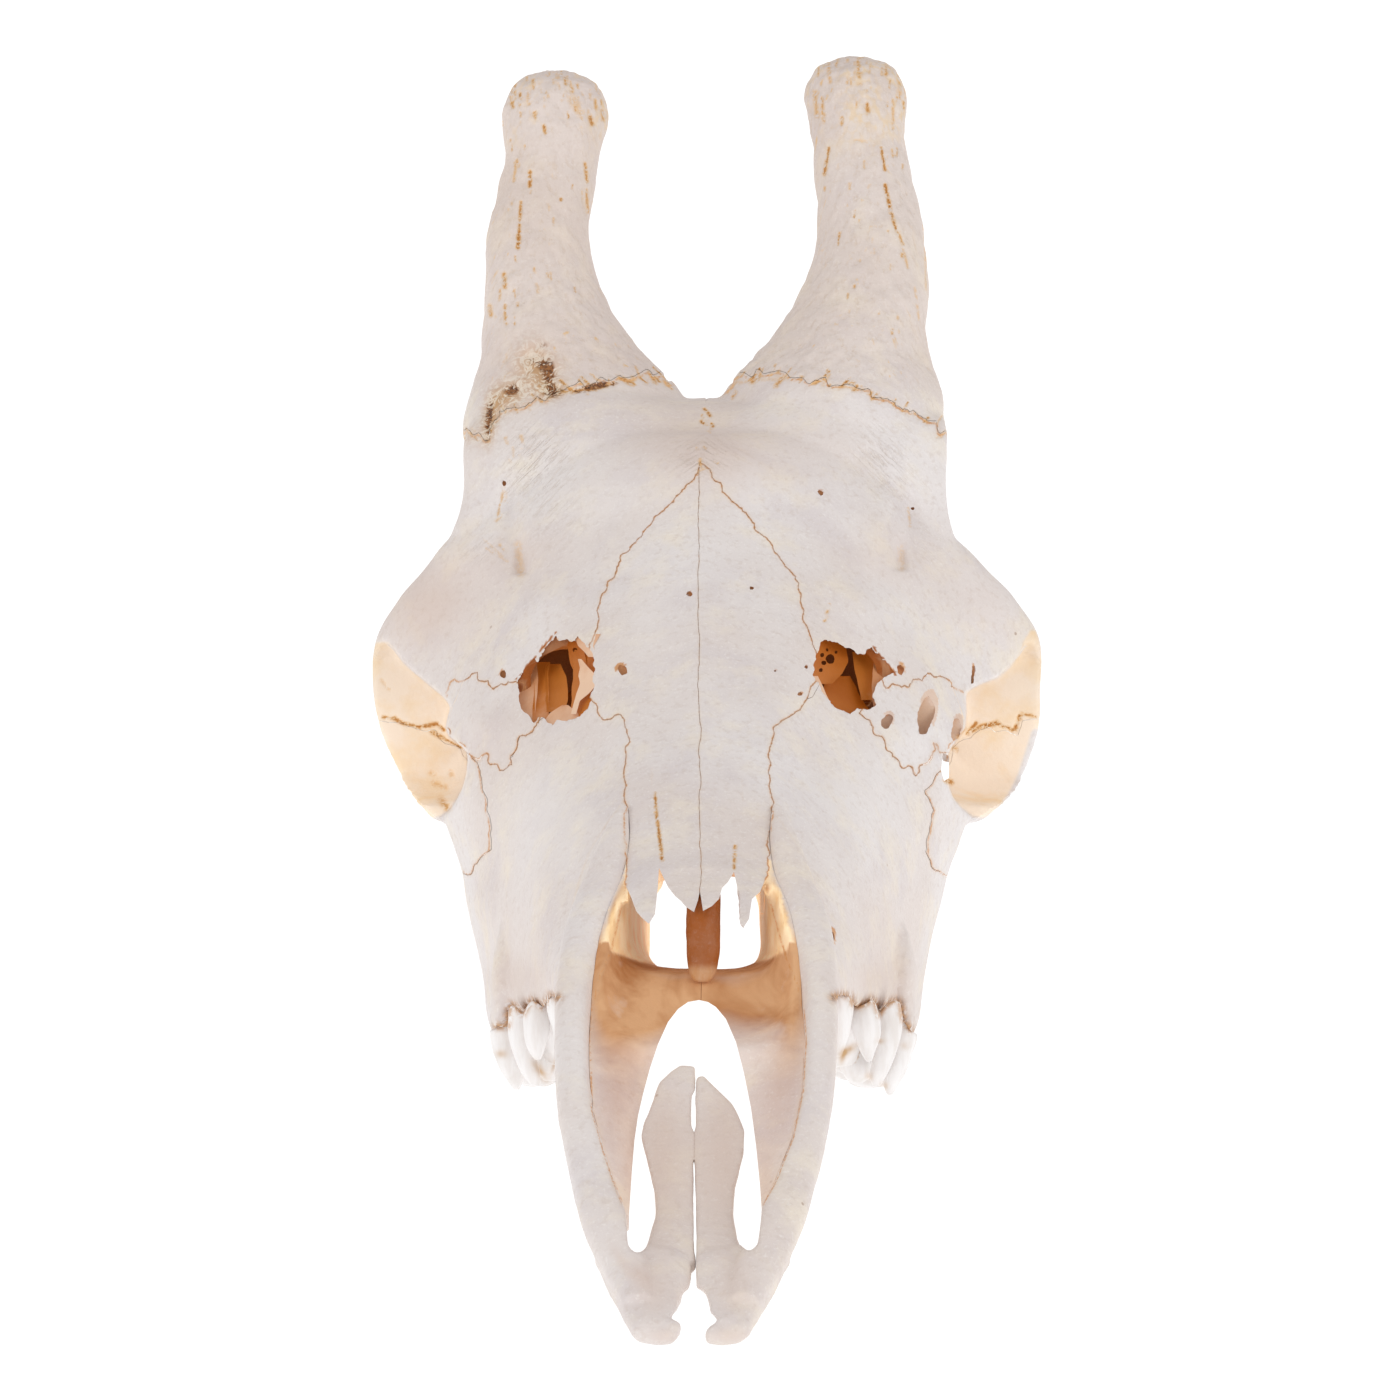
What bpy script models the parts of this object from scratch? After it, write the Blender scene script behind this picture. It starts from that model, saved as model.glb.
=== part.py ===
"""Giraffe cranium without its lower jaw, life size, lying on its last cheek teeth
and its two occipital condyles.

Every table is in millimetres in the skull's own frame: x to the animal's left, y
backwards from the tip of the premaxillae, z upwards. The skull is built there bone
by bone and then laid down, nose slightly raised, as it rests on a table.
"""
import math

import bmesh
import bpy
import numpy as np
from mathutils import Matrix, Vector

MM = 0.001
GAP = 0.3
SIDES = (("right", -1.0), ("left", 1.0))

# Thickness of the nasal bones
NASAL_SHEET = 5.5

# The skull's rest: lowest point of the last molars and of the condyles (y, z)
MOLAR_REST = (306.0, -11.1)
CONDYLE_REST = (578.0, 13.0)
CENTRE_Y = 300.3

# The point in front of the face that the sides of the seams fan out from
FAN_POINT = np.array([18.3, -1196.3, 356.8])

BONE_COLOUR = (0.80, 0.74, 0.68, 1.0)
HORN_COLOUR = (0.80, 0.75, 0.69, 1.0)
INNER_COLOUR = (0.52, 0.33, 0.19, 1.0)

# Half outlines of the face from brow to palate: y, then (x, z) from the midline of
# the roof round the cheek to the midline of the palate
FACE_SECTIONS = (
    (110, ((0, 44), (16, 44), (28, 45), (35, 44), (37, 40), (36, 36), (31, 33), (17, 34), (0, 36))),
    (130, ((0, 62), (18, 62), (31, 61), (38, 56), (40, 50), (39, 44), (34, 39), (19, 41), (0, 46))),
    (152, ((0, 84), (17, 81), (29, 76), (39, 66), (43, 58), (43, 50), (38, 41), (22, 45), (0, 51))),
    (176, ((0, 93), (20, 89), (31, 82), (42, 70), (47, 59), (48, 49), (45, 41), (27, 41), (0, 48))),
    (210, ((0, 108), (22, 105), (35, 96), (48, 80), (54, 64), (56, 48), (54, 34), (33, 33), (0, 41))),
    (248, ((0, 126), (23, 123), (37, 112), (53, 92), (62, 71), (66, 48), (63, 24), (40, 22), (0, 30))),
    (282, ((0, 145), (27, 139), (45, 124), (62, 104), (73, 78), (74, 47), (69, 13), (46, 14), (0, 23))),
    (308, ((0, 160), (31, 152), (52, 136), (73, 112), (83, 84), (81, 52), (71, 8), (47, 12), (0, 18))),
    (321, ((0, 168), (32, 159), (57, 142), (79, 115), (88, 86), (86, 60), (68, 28), (44, 26), (0, 24))),
    (340, ((0, 180), (34, 171), (62, 150), (84, 121), (94, 92), (89, 67), (62, 48), (34, 42), (0, 50))),
    (364, ((0, 195), (38, 188), (68, 166), (94, 133), (108, 100), (98, 70), (62, 58), (30, 48), (0, 50))),
    (385, ((0, 203), (42, 198), (79, 172), (105.5, 146), (119, 114), (108, 74), (60, 60), (28, 50), (0, 50))),
    (396, ((0, 205), (44, 202), (80, 172), (106, 145.5), (119.5, 114), (108, 75), (58, 64), (28, 52), (0, 52))),
)
# Half outlines of the brow that carries the ossicones
BROW_SECTIONS = (
    (366, ((0, 186), (34, 180), (62, 160), (70, 152), (66, 146), (40, 140), (0, 140))),
    (384, ((0, 201), (44, 199), (76, 177), (88, 165), (84, 150), (50, 138), (0, 138))),
    (402, ((0, 207), (46, 212), (83, 197), (86.3, 174), (84, 148), (50, 136), (0, 136))),
    (424, ((0, 208), (46, 217), (82, 206), (85, 186), (82, 158), (52, 138), (0, 136))),
    (446, ((0, 206), (46, 215), (80, 206), (84, 186), (80, 156), (50, 136), (0, 136))),
    (468, ((0, 199), (44, 204), (74, 196), (78, 178), (72, 152), (46, 136), (0, 136))),
    (488, ((0, 188), (34, 186), (54, 176), (58, 162), (54, 146), (40, 136), (0, 136))),
    (500, ((0, 176), (20, 174), (34, 168), (40, 158), (36, 146), (24, 138), (0, 138))),
)
# Half outlines of the brain case
CASE_SECTIONS = (
    (372, ((0, 150), (24, 146), (36, 120), (36, 92), (24, 66), (12, 54), (0, 52))),
    (400, ((0, 168), (36, 160), (50, 128), (46, 92), (30, 64), (14, 50), (0, 48))),
    (440, ((0, 190), (42, 176), (54, 134), (52, 98), (36, 66), (16, 46), (0, 43))),
    (480, ((0, 188), (38, 174), (52, 134), (54, 98), (42, 66), (18, 43), (0, 39))),
    (515, ((0, 170), (32, 158), (47, 126), (56, 92), (50, 62), (22, 41), (0, 36))),
    (540, ((0, 158), (34, 148), (52, 118), (62, 84), (54, 54), (22, 36), (0, 32))),
    (556, ((0, 152), (34, 142), (52, 114), (60, 82), (50, 50), (20, 32), (0, 28))),
    (572, ((0, 118), (22, 112), (38, 94), (46, 72), (38, 46), (18, 28), (0, 25))),
    (580, ((0, 100), (16, 96), (28, 82), (32, 66), (28, 44), (14, 28), (0, 25))),
)
# Lofts of oval sections: y, centre x, centre z, half width, half height, turn in degrees
BAR_ROWS = (
    (10, 14.5, -3.6, 4.2, 2.8, -10), (22, 18.0, 1.6, 6.0, 4.2, -10), (36, 23.0, 8.8, 6.6, 5.0, -12),
    (60, 29.3, 20.6, 6.2, 5.2, -8),
    (85, 34.9, 34.2, 5.0, 5.6, 0), (110, 36.8, 47.6, 4.9, 6.2, 0), (130, 36.7, 58.6, 5.4, 6.4, -8),
    (154, 33.4, 72.6, 7.2, 5.4, -22), (172, 29.6, 82.6, 6.8, 4.4, -26), (188, 26.6, 92.6, 4.6, 3.4, -26),
    (202, 24.4, 101.0, 1.6, 1.6, -20),
)
FRONT_BODY_ROWS = (
    (-1.2, 7.2, -10.0, 1.8, 1.4, 0), (0.8, 8.6, -9.2, 5.0, 2.4, -2), (6, 10.2, -7.5, 6.9, 3.4, -4),
    (14, 12.0, -4.4, 8.4, 4.0, -4), (20, 12.0, -2.1, 10.9, 4.2, -3), (30, 13.4, 1.7, 12.8, 4.2, -2),
    (33, 14.2, 2.8, 13.2, 3.6, 0), (36, 14.2, 3.9, 10.0, 2.2, 0),
)
PROCESS_ROWS = (
    (36, 6.6, 3.4, 5.6, 2.8, 0), (52, 5.9, 9.5, 5.0, 2.5, 0), (61, 6.1, 14.0, 5.2, 2.3, 0),
    (76, 7.5, 22.0, 6.6, 2.2, 0), (83, 7.9, 25.6, 7.0, 2.1, 0), (92, 6.8, 30.5, 5.9, 2.0, 0),
    (99, 5.4, 34.5, 4.4, 1.9, 0), (106, 4.2, 38.0, 2.8, 1.6, 0), (110, 3.4, 39.8, 1.0, 1.0, 0),
)
WALL_ROWS = (
    (48, 23.2, 10.0, 3.0, 1.6, 44), (60, 24.8, 17.2, 7.6, 1.8, 44), (80, 26.6, 27.4, 9.4, 2.0, 38),
    (100, 26.4, 37.6, 10.8, 2.2, 26), (120, 25.0, 46.0, 13.0, 2.6, 12), (140, 26.0, 52.0, 13.0, 4.0, 4),
)
ARCH_ROWS = (
    (364, 94.0, 71.0, 6.0, 10.0, 0), (392, 97.6, 72.8, 5.4, 9.6, 0), (420, 95.0, 78.0, 4.4, 8.2, 0),
    (446, 86.0, 82.0, 5.2, 7.8, 0), (468, 69.0, 85.0, 10.0, 8.4, 0), (486, 50.0, 87.0, 12.0, 10.0, 0),
)
PTERYGOID_ROWS = (
    (300, 20.0, 33.0, 2.4, 12.0, 0), (322, 20.5, 34.0, 2.2, 16.0, 0), (346, 20.0, 37.0, 2.2, 17.0, 0),
    (370, 19.0, 42.0, 2.4, 14.0, 0), (392, 18.0, 48.0, 4.0, 9.0, 0),
)
CREST_ROWS = (
    (526, 0.0, 122.0, 40.0, 34.0, 0), (542, 0.0, 116.0, 56.0, 45.0, 0), (553, 0.0, 114.0, 56.0, 45.0, 0),
    (562, 0.0, 106.0, 42.0, 34.0, 0),
)
BASICRANIUM_ROWS = (
    (372, 0, 54, 14, 8, 0), (440, 0, 50, 16, 9, 0), (520, 0, 42, 17, 9, 0), (578, 0, 30, 16, 9, 0),
)
# Uprights: z, centre x and y, half width and half length
JUGULAR_ROWS = ((68, 48, 554, 10, 12), (46, 47, 560, 8, 8), (30, 44, 564, 5, 5.4), (17, 42, 566, 2.0, 2.4))
# Rounded knobs: centre and half sizes
CONDYLE = ((24.0, 578.0, 35.5), (15.5, 22.0, 24.0))
BULLA = ((34.0, 524.0, 44.0), (11.0, 17.0, 15.0))
VOMER_ROWS = (
    (152, 1.6, 64.0, 4.4, 4.0, 0), (160, 1.6, 73.0, 5.0, 17.0, 0), (200, 1.2, 78.0, 4.0, 30.0, 0),
    (250, 0.6, 86.0, 3.4, 52.0, 0), (300, 0.0, 92.0, 3.2, 42.0, 0), (330, 0.0, 94.0, 3.2, 24.0, 0),
)
NASAL_PRONG_ROWS = (
    (142, 2.4, 79.0, 0.8, 0.9, 0), (149, 4.6, 81.2, 3.6, 1.5, -4), (158, 6.6, 84.4, 6.0, 1.8, -6),
    (178, 10.0, 90.0, 10.0, 2.2, -8),
)
NASAL_SPUR_ROWS = (
    (138, 14.6, 74.8, 0.7, 0.8, -12), (147, 15.6, 78.0, 2.0, 1.3, -14), (157, 17.0, 81.2, 3.6, 1.6, -16),
    (180, 18.4, 88.0, 6.6, 2.2, -16),
)
# Hollows
APERTURE_ROWS = (
    (96, 0.0, 94.0, 31.0, 50.0, 0), (118, 0.0, 94.5, 30.5, 48.0, 0), (130, 0.0, 95.0, 30.0, 44.5, 0),
    (142, 0.0, 97.0, 27.6, 40.0, 0), (152, 0.0, 99.0, 24.6, 39.0, 0), (164, 0.0, 100.0, 22.8, 40.0, 0),
)
PASSAGE_ROWS = (
    (146, 0.0, 71.0, 23.5, 11.0, 0), (170, 0.0, 71.5, 20.0, 13.5, 0), (200, 0.0, 70.5, 20.0, 20.5, 0),
    (240, 0.0, 66.3, 19.5, 26.8, 0), (275, 0.0, 56.5, 18.5, 25.5, 0), (305, 0.0, 45.5, 17.8, 20.5, 0),
    (345, 0.0, 31.0, 17.6, 19.5, 0), (400, 0.0, 16.0, 17.6, 22.0, 0),
)

FORAMEN_ROWS = ((562, 0, 60, 13, 12, 0), (604, 0, 62, 17, 17, 0))
FISSURE_ROWS = ((10, 0, 90, 18.5, 54), (100, 0, 90, 18.5, 54))

# Cheek teeth from the first premolar: y, outer x, gum z, tip z, length, lobes
CHEEK_TEETH = (
    (180, 44.0, 43.0, 30.0, 20.0, 1), (201, 50.5, 38.0, 22.0, 21.0, 1), (222, 57.0, 32.0, 13.0, 22.0, 1),
    (246, 64.0, 24.0, 3.0, 26.0, 2), (273, 69.5, 15.0, -8.0, 28.0, 2), (301, 71.5, 8.0, -11.5, 28.0, 2),
)
TOOTH_WIDTH = 21.0
TOOTH_ROOT = 9.0

# Ossicones: z, centre y, then centre x, half width and half length across
OSSICONE_ROWS = (
    (196, 430, 45.0, 41.0, 42.0), (206, 436, 46.0, 40.5, 41.0), (214, 441, 47.0, 37.5, 38.0),
    (223, 448, 50.0, 32.0, 33.5), (236, 456, 55.0, 26.4, 28.5), (251, 465, 59.2, 21.6, 23.5),
    (268, 475, 60.6, 18.9, 20.0), (284, 485, 58.8, 17.3, 18.0), (296, 492, 57.2, 16.5, 17.0),
    (305, 497, 56.4, 18.0, 17.8), (312, 501, 56.0, 18.9, 18.2), (319.5, 504, 56.0, 17.0, 16.6),
    (325, 506, 56.0, 12.0, 12.0), (327.5, 507, 56.0, 5.0, 5.0),
)
OSSICONE_SHIFT = {"right": (-2.4, -2.4), "left": (-2.0, 2.6)}
OSSICONE_SEAM = (46.0, 405.0, 215.0)
OSSICONE_SEAM_NORMAL = (0.25, 0.30, 0.92)

# Orbit: centre and half sizes of the eye's hollow, and of the hollow behind its bar
EYE_ROWS = (
    (320, 104.0, 91.0, 18.0, 5.0, 0), (327, 104.0, 94.0, 25.0, 15.0, 0), (340, 104.0, 96.0, 31.0, 20.5, 0),
    (356, 104.0, 98.0, 34.0, 25.0, 0), (372, 104.0, 100.0, 34.0, 27.5, 0), (383, 104.0, 101.0, 28.0, 27.0, 0),
    (389, 104.0, 101.0, 19.0, 23.0, 0),
)
TEMPLE = ((80.0, 428.0, 112.0), (24.0, 36.0, 44.0))
GATE = ((69.0, 396.0, 97.0), (18.0, 26.0, 30.0))
FENESTRA_REACH = (1480.0, 1552.0)

# Seams in front view, (right, up) in millimetres at the orbits' distance from the fan point
ORBIT_DISTANCE = 1600.0
FAN_TILT = math.radians(9.0)
FAN_TURN = math.radians(-0.75)
NASAL_SEAM = {
    "right": ((-0.5, 80.5), (-14, 67), (-26, 52), (-33.5, 38), (-38.5, 19), (-38.5, 0.5),
              (-34, -7), (-26, -9.5), (-26.8, -37), (-26.5, -66), (-25, -78), (-0.2, -78)),
    "left": ((0.2, 80.5), (11.5, 67), (23, 52), (33, 38), (40, 18), (40.5, 6),
             (36, -2.5), (27, -9), (25, -35), (24.6, -56), (24, -78), (0.4, -78)),
}
LACRIMAL_SEAM = {
    "right": ((-89.5, 1.4), (-80, 8.5), (-64, 6), (-56, -8), (-64.5, -16.5), (-70, -24.5),
              (-81.5, -19.5), (-89, -22)),
    "left": ((94, 2.5), (84, 9), (68, 5), (58, -4), (66, -15), (73.5, -24), (80, -25.5), (86, -22),
             (92, -22)),
}
ZYGOMATIC_SEAM = {
    "right": ((-118, -6), (-101, -9), (-93, -14), (-84, -20), (-79, -26), (-76, -36), (-74, -52),
              (-81, -62), (-100, -60), (-122, -40)),
    "left": ((124, -6), (112, -9.5), (100, -9.5), (94, -14), (85, -22), (80, -31), (82, -44),
             (80, -58), (88, -66), (108, -60), (126, -40)),
}
FENESTRA = {
    "right": ((-51.7, 22.3), (-43.6, 20.9), (-38.6, 15.9), (-38.2, 4), (-42.5, -5.7), (-49, -7.4),
              (-59.5, -6.7), (-63.8, 0), (-63.0, 8), (-58.8, 14.2)),
    "left": ((43.2, 21.3), (50.7, 18.4), (61.3, 18.1), (67.0, 11.0), (62.8, 4), (62.4, -3.9),
             (52.5, -5), (46.0, -1.4), (41.4, 6.7), (41.4, 16.0)),
}
MAXILLA_SEAM = {
    "right": ((-39.5, 0.5), (-50, 4), (-60, -6), (-64.5, -17.5), (-70, -25.5), (-79, -21), (-79.5, -27),
              (-76.5, -36), (-74.5, -52), (-81.5, -63), (-140, -66), (-140, -270), (-0.2, -270),
              (-0.2, -79), (-25.6, -79), (-27.2, -66), (-27.4, -37), (-26.6, -10.2), (-34.5, -7.8)),
    "left": ((41, 4), (52, 4), (62, -6), (67, -16), (73.5, -25), (80, -26.5), (80.5, -31), (82.5, -44),
             (80.5, -58), (89, -67), (140, -68), (140, -270), (0.2, -270),
             (0.2, -79), (24.6, -79), (25.2, -56), (25.6, -35), (27.6, -9.8), (36.5, -3.2)),
}


def clear_scene():
    """Removes whatever the file holds."""
    for thing in list(bpy.data.objects):
        bpy.data.objects.remove(thing)


def bone_material(name, colour, roughness):
    """A bone finish: pale, dry and matt."""
    material = bpy.data.materials.new(name)
    material.use_nodes = True
    shader = material.node_tree.nodes["Principled BSDF"]
    shader.inputs["Base Color"].default_value = colour
    shader.inputs["Roughness"].default_value = roughness
    shader.inputs["Metallic"].default_value = 0.0
    return material


def read_between(knots, rows, places):
    """Rows of a table read at any place between its knots, on smooth cubic curves."""
    knots = np.asarray(knots, float)
    rows = np.asarray(rows, float)
    slopes = np.gradient(rows, knots, axis=0)
    spans = np.clip(np.searchsorted(knots, places, side="right") - 1, 0, len(knots) - 2)
    width = knots[spans + 1] - knots[spans]
    t = (places - knots[spans]) / width
    shape = (-1,) + (1,) * (rows.ndim - 1)
    t, width = t.reshape(shape), width.reshape(shape)
    near, far = rows[spans], rows[spans + 1]
    return (near * (2 * t**3 - 3 * t**2 + 1) + slopes[spans] * width * (t**3 - 2 * t**2 + t)
            + far * (3 * t**2 - 2 * t**3) + slopes[spans + 1] * width * (t**3 - t**2))


def places_between(knots, steps):
    """The knots with each span between them divided into the same number of steps."""
    knots = np.asarray(knots, float)
    inner = [np.linspace(a, b, steps, endpoint=False) for a, b in zip(knots, knots[1:])]
    return np.append(np.concatenate(inner), knots[-1])


def closed_solid(name, rings):
    """A closed mesh through rings of points, with a fan of triangles over each end."""
    rings = np.asarray(rings, float)
    count, around = rings.shape[:2]
    points = rings.reshape(-1, 3)
    faces = []
    for row in range(count - 1):
        for k in range(around):
            a, b = row * around + k, row * around + (k + 1) % around
            faces.append((a, b, b + around))
            faces.append((a, b + around, a + around))
    ends = np.array([rings[0].mean(axis=0), rings[-1].mean(axis=0)])
    last = (count - 1) * around
    for k in range(around):
        faces.append((len(points), (k + 1) % around, k))
        faces.append((len(points) + 1, last + k, last + (k + 1) % around))
    mesh = bpy.data.meshes.new(name)
    mesh.from_pydata((np.vstack([points, ends]) * MM).tolist(), [], faces)
    shape = bmesh.new()
    shape.from_mesh(mesh)
    bmesh.ops.recalc_face_normals(shape, faces=shape.faces)
    shape.to_mesh(mesh)
    shape.free()
    solid = bpy.data.objects.new(name, mesh)
    bpy.context.scene.collection.objects.link(solid)
    return solid


def oval_loft(name, rows, side=1.0, around=12, steps=2, power=2.0, grow=0.0):
    """Oval sections across y, each at its own centre and turned about y, joined in order."""
    rows = np.asarray(rows, float)
    places = places_between(rows[:, 0], steps)
    x, z, half_x, half_z, turn = read_between(rows[:, 0], rows[:, 1:], places).T
    places = places + np.linspace(-grow, grow, len(places))
    angle = np.arange(around) * 2 * math.pi / around
    flat = np.sign(np.cos(angle)) * np.abs(np.cos(angle)) ** (2 / power)
    rise = np.sign(np.sin(angle)) * np.abs(np.sin(angle)) ** (2 / power)
    along = np.outer(np.maximum(half_x, 0.3) + grow, flat)
    up = np.outer(np.maximum(half_z, 0.3) + grow, rise)
    cos, sin = np.cos(np.radians(turn))[:, None], np.sin(np.radians(turn))[:, None]
    rings = np.stack([
        side * (x[:, None] + along * cos - up * sin),
        np.repeat(places[:, None], around, axis=1),
        z[:, None] + along * sin + up * cos,
    ], axis=2)
    return closed_solid(name, rings)


def section_loft(name, sections, around=28, steps=2):
    """A form of mirrored outlines across y: smooth round each outline and along y."""
    knots = np.array([row[0] for row in sections], float)
    halves = np.array([row[1] for row in sections], float)
    places = places_between(knots, steps)
    half = read_between(knots, halves, places)
    mirrored = half[:, -2:0:-1] * np.array([-1.0, 1.0])
    loop = np.concatenate([half, mirrored], axis=1)
    corners = loop.shape[1]
    t = np.arange(around) * corners / around
    i = np.floor(t).astype(int)
    f = (t - i)[None, :, None]
    before, near, far, after = (loop[:, (i + k) % corners] for k in (-1, 0, 1, 2))
    curve = near + 0.5 * f * (far - before + f * (2 * before - 5 * near + 4 * far - after
                                                  + f * (3 * (near - far) + after - before)))
    rings = np.stack([curve[..., 0], np.repeat(places[:, None], around, axis=1), curve[..., 1]], axis=2)
    return closed_solid(name, rings)


def ball(name, centre, size, side=1.0, around=16, levels=10):
    """An ellipsoid with small flat ends: half sizes along x, y and z."""
    polar = np.linspace(0.0, math.pi, levels + 2)[1:-1]
    angle = np.arange(around) * 2 * math.pi / around
    ring_x = np.outer(np.sin(polar), np.cos(angle)) * size[0]
    ring_y = np.outer(np.sin(polar), np.sin(angle)) * size[1]
    ring_z = np.outer(np.cos(polar), np.ones(around)) * size[2]
    rings = np.stack([side * (centre[0] + ring_x), centre[1] + ring_y, centre[2] + ring_z], axis=2)
    return closed_solid(name, rings)


def drop_piece(thing):
    """Removes an object with its mesh."""
    mesh = thing.data
    bpy.data.objects.remove(thing)
    bpy.data.meshes.remove(mesh)


def keep_largest(thing):
    """Keeps only the largest closed surface of a mesh."""
    shape = bmesh.new()
    shape.from_mesh(thing.data)
    todo = set(shape.faces)
    islands = []
    while todo:
        island, edge = set(), [todo.pop()]
        while edge:
            face = edge.pop()
            island.add(face)
            for side in face.edges:
                for other in side.link_faces:
                    if other in todo:
                        todo.discard(other)
                        edge.append(other)
        islands.append(island)
    islands.sort(key=lambda island: -sum(face.calc_area() for face in island))
    loose = [face for island in islands[1:] for face in island]
    bmesh.ops.delete(shape, geom=loose, context="FACES")
    shape.to_mesh(thing.data)
    shape.free()


def combine(thing, others, operation):
    """One Boolean of a solid with a collection of others, applied."""
    group = bpy.data.collections.new("pieces")
    for other in others:
        group.objects.link(other)
    step = thing.modifiers.new("combine", "BOOLEAN")
    step.operand_type = "COLLECTION"
    step.collection = group
    step.operation = operation
    step.solver = "MANIFOLD"
    bpy.context.view_layer.update()
    result = bpy.data.meshes.new_from_object(thing.evaluated_get(bpy.context.evaluated_depsgraph_get()))
    thing.modifiers.clear()
    old, thing.data = thing.data, result
    bpy.data.meshes.remove(old)
    bpy.data.collections.remove(group)
    for other in others:
        drop_piece(other)
    return thing


def copy_of(thing, name):
    """A copy of a solid with a mesh of its own."""
    twin = bpy.data.objects.new(name, thing.data.copy())
    bpy.context.scene.collection.objects.link(twin)
    return twin


def upright_loft(name, rows, side=1.0, around=12, power=2.0, shift=(0.0, 0.0)):
    """Oval sections across z: rows of z, centre x and y, half width and half length."""
    z, x, y, half_x, half_y = np.asarray(rows, float).T
    angle = np.arange(around) * 2 * math.pi / around
    flat = np.sign(np.cos(angle)) * np.abs(np.cos(angle)) ** (2 / power)
    deep = np.sign(np.sin(angle)) * np.abs(np.sin(angle)) ** (2 / power)
    rings = np.stack([
        side * x[:, None] + shift[0] + side * np.outer(half_x, flat),
        y[:, None] + np.outer(half_y, deep),
        np.repeat(z[:, None] + shift[1], around, axis=1),
    ], axis=2)
    return closed_solid(name, rings)


def fan_axes():
    """The fan's forward, right and up directions."""
    forward = np.array([math.sin(FAN_TURN) * math.cos(FAN_TILT), math.cos(FAN_TURN) * math.cos(FAN_TILT),
                        -math.sin(FAN_TILT)])
    right = np.array([math.cos(FAN_TURN), -math.sin(FAN_TURN), 0.0])
    return forward, right, np.cross(right, forward)


def seam_block(name, outline, near, far, grow=0.0):
    """The space behind an outline in front view, between two distances from the fan point."""
    outline = np.asarray(outline, float)
    ahead = np.roll(outline, -1, axis=0) - outline
    ahead /= np.linalg.norm(ahead, axis=1)[:, None]
    turn = np.sign(np.sum(outline[:, 0] * np.roll(outline[:, 1], -1)
                          - outline[:, 1] * np.roll(outline[:, 0], -1)))
    normal = turn * np.stack([ahead[:, 1], -ahead[:, 0]], axis=1)
    corner = normal + np.roll(normal, 1, axis=0)
    corner /= np.maximum(np.sum(corner * normal, axis=1), 0.5)[:, None]
    outline = outline + grow * corner
    forward, right, up = fan_axes()
    rays = ORBIT_DISTANCE * forward + outline[:, :1] * right + outline[:, 1:] * up
    ends = [FAN_POINT + rays * distance / ORBIT_DISTANCE for distance in (near - grow, far + grow)]
    count = len(outline)
    shape = bmesh.new()
    front, back = [[shape.verts.new(point * MM) for point in end] for end in ends]
    shape.faces.new(front)
    shape.faces.new(back[::-1])
    for k in range(count):
        following = (k + 1) % count
        shape.faces.new((front[following], front[k], back[k], back[following]))
    bmesh.ops.recalc_face_normals(shape, faces=shape.faces)
    bmesh.ops.triangulate(shape, faces=shape.faces)
    mesh = bpy.data.meshes.new(name)
    shape.to_mesh(mesh)
    shape.free()
    block = bpy.data.objects.new(name, mesh)
    bpy.context.scene.collection.objects.link(block)
    return block


def box_between(name, corners):
    """A solid with eight corners: four of one end, then the four that face them."""
    corners = np.asarray(corners, float)
    return closed_solid(name, corners.reshape(2, 4, 3))


def roof_core(name, depth):
    """The inside of the face: its roof lowered by a depth, straight down to below the teeth."""
    sections = []
    for y, half in FACE_SECTIONS:
        (_, z0), (x1, z1), (x2, z2), (x3, z3) = half[:4]
        sections.append((y, ((0, z0 - depth), (x1, z1 - depth), (x2, z2 - depth), (x3 + 6, z3 - depth - 4),
                             (x3 + 8, -40), (30, -60), (0, -60))))
    return section_loft(name, sections, around=28, steps=1)


def cheek_teeth(side):
    """The lobes of one side's teeth: each widens from its root and narrows to its worn edge."""
    lobes = []
    places, tips = [tooth[0] for tooth in CHEEK_TEETH], [tooth[3] for tooth in CHEEK_TEETH]
    for y, outer, gum, _, length, count in CHEEK_TEETH:
        half = length / count / 2
        for k in range(count):
            middle = y + (k - (count - 1) / 2) * length / count
            tip = float(np.interp(middle, places, tips))
            crown = gum - tip
            wide = TOOTH_WIDTH / 2
            centre = outer - wide
            lobes.append(upright_loft("tooth", (
                (gum + TOOTH_ROOT, centre - 1.0, middle, wide * 0.7, half * 0.7),
                (gum + 0.5, centre, middle, wide * 0.96, half * 0.9),
                (gum - 0.35 * crown, centre - 0.6, middle, wide, half * 1.04),
                (gum - 0.72 * crown, centre - 2.6, middle, wide * 0.92, half * 0.96),
                (tip, centre + 0.6, middle, wide * 0.45, half * 0.66),
            ), side, around=8, power=2.6))
    return lobes


def premaxilla_pieces(side, grow):
    """One side's nasal bar, front body and palatal process."""
    return [
        oval_loft("bar", BAR_ROWS, side, around=12, steps=1, power=2.3, grow=grow),
        oval_loft("front_body", FRONT_BODY_ROWS, side, around=12, steps=1, power=2.6, grow=grow),
        oval_loft("palatal_process", PROCESS_ROWS, side, around=10, power=2.4, steps=1, grow=grow),
    ]


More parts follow.
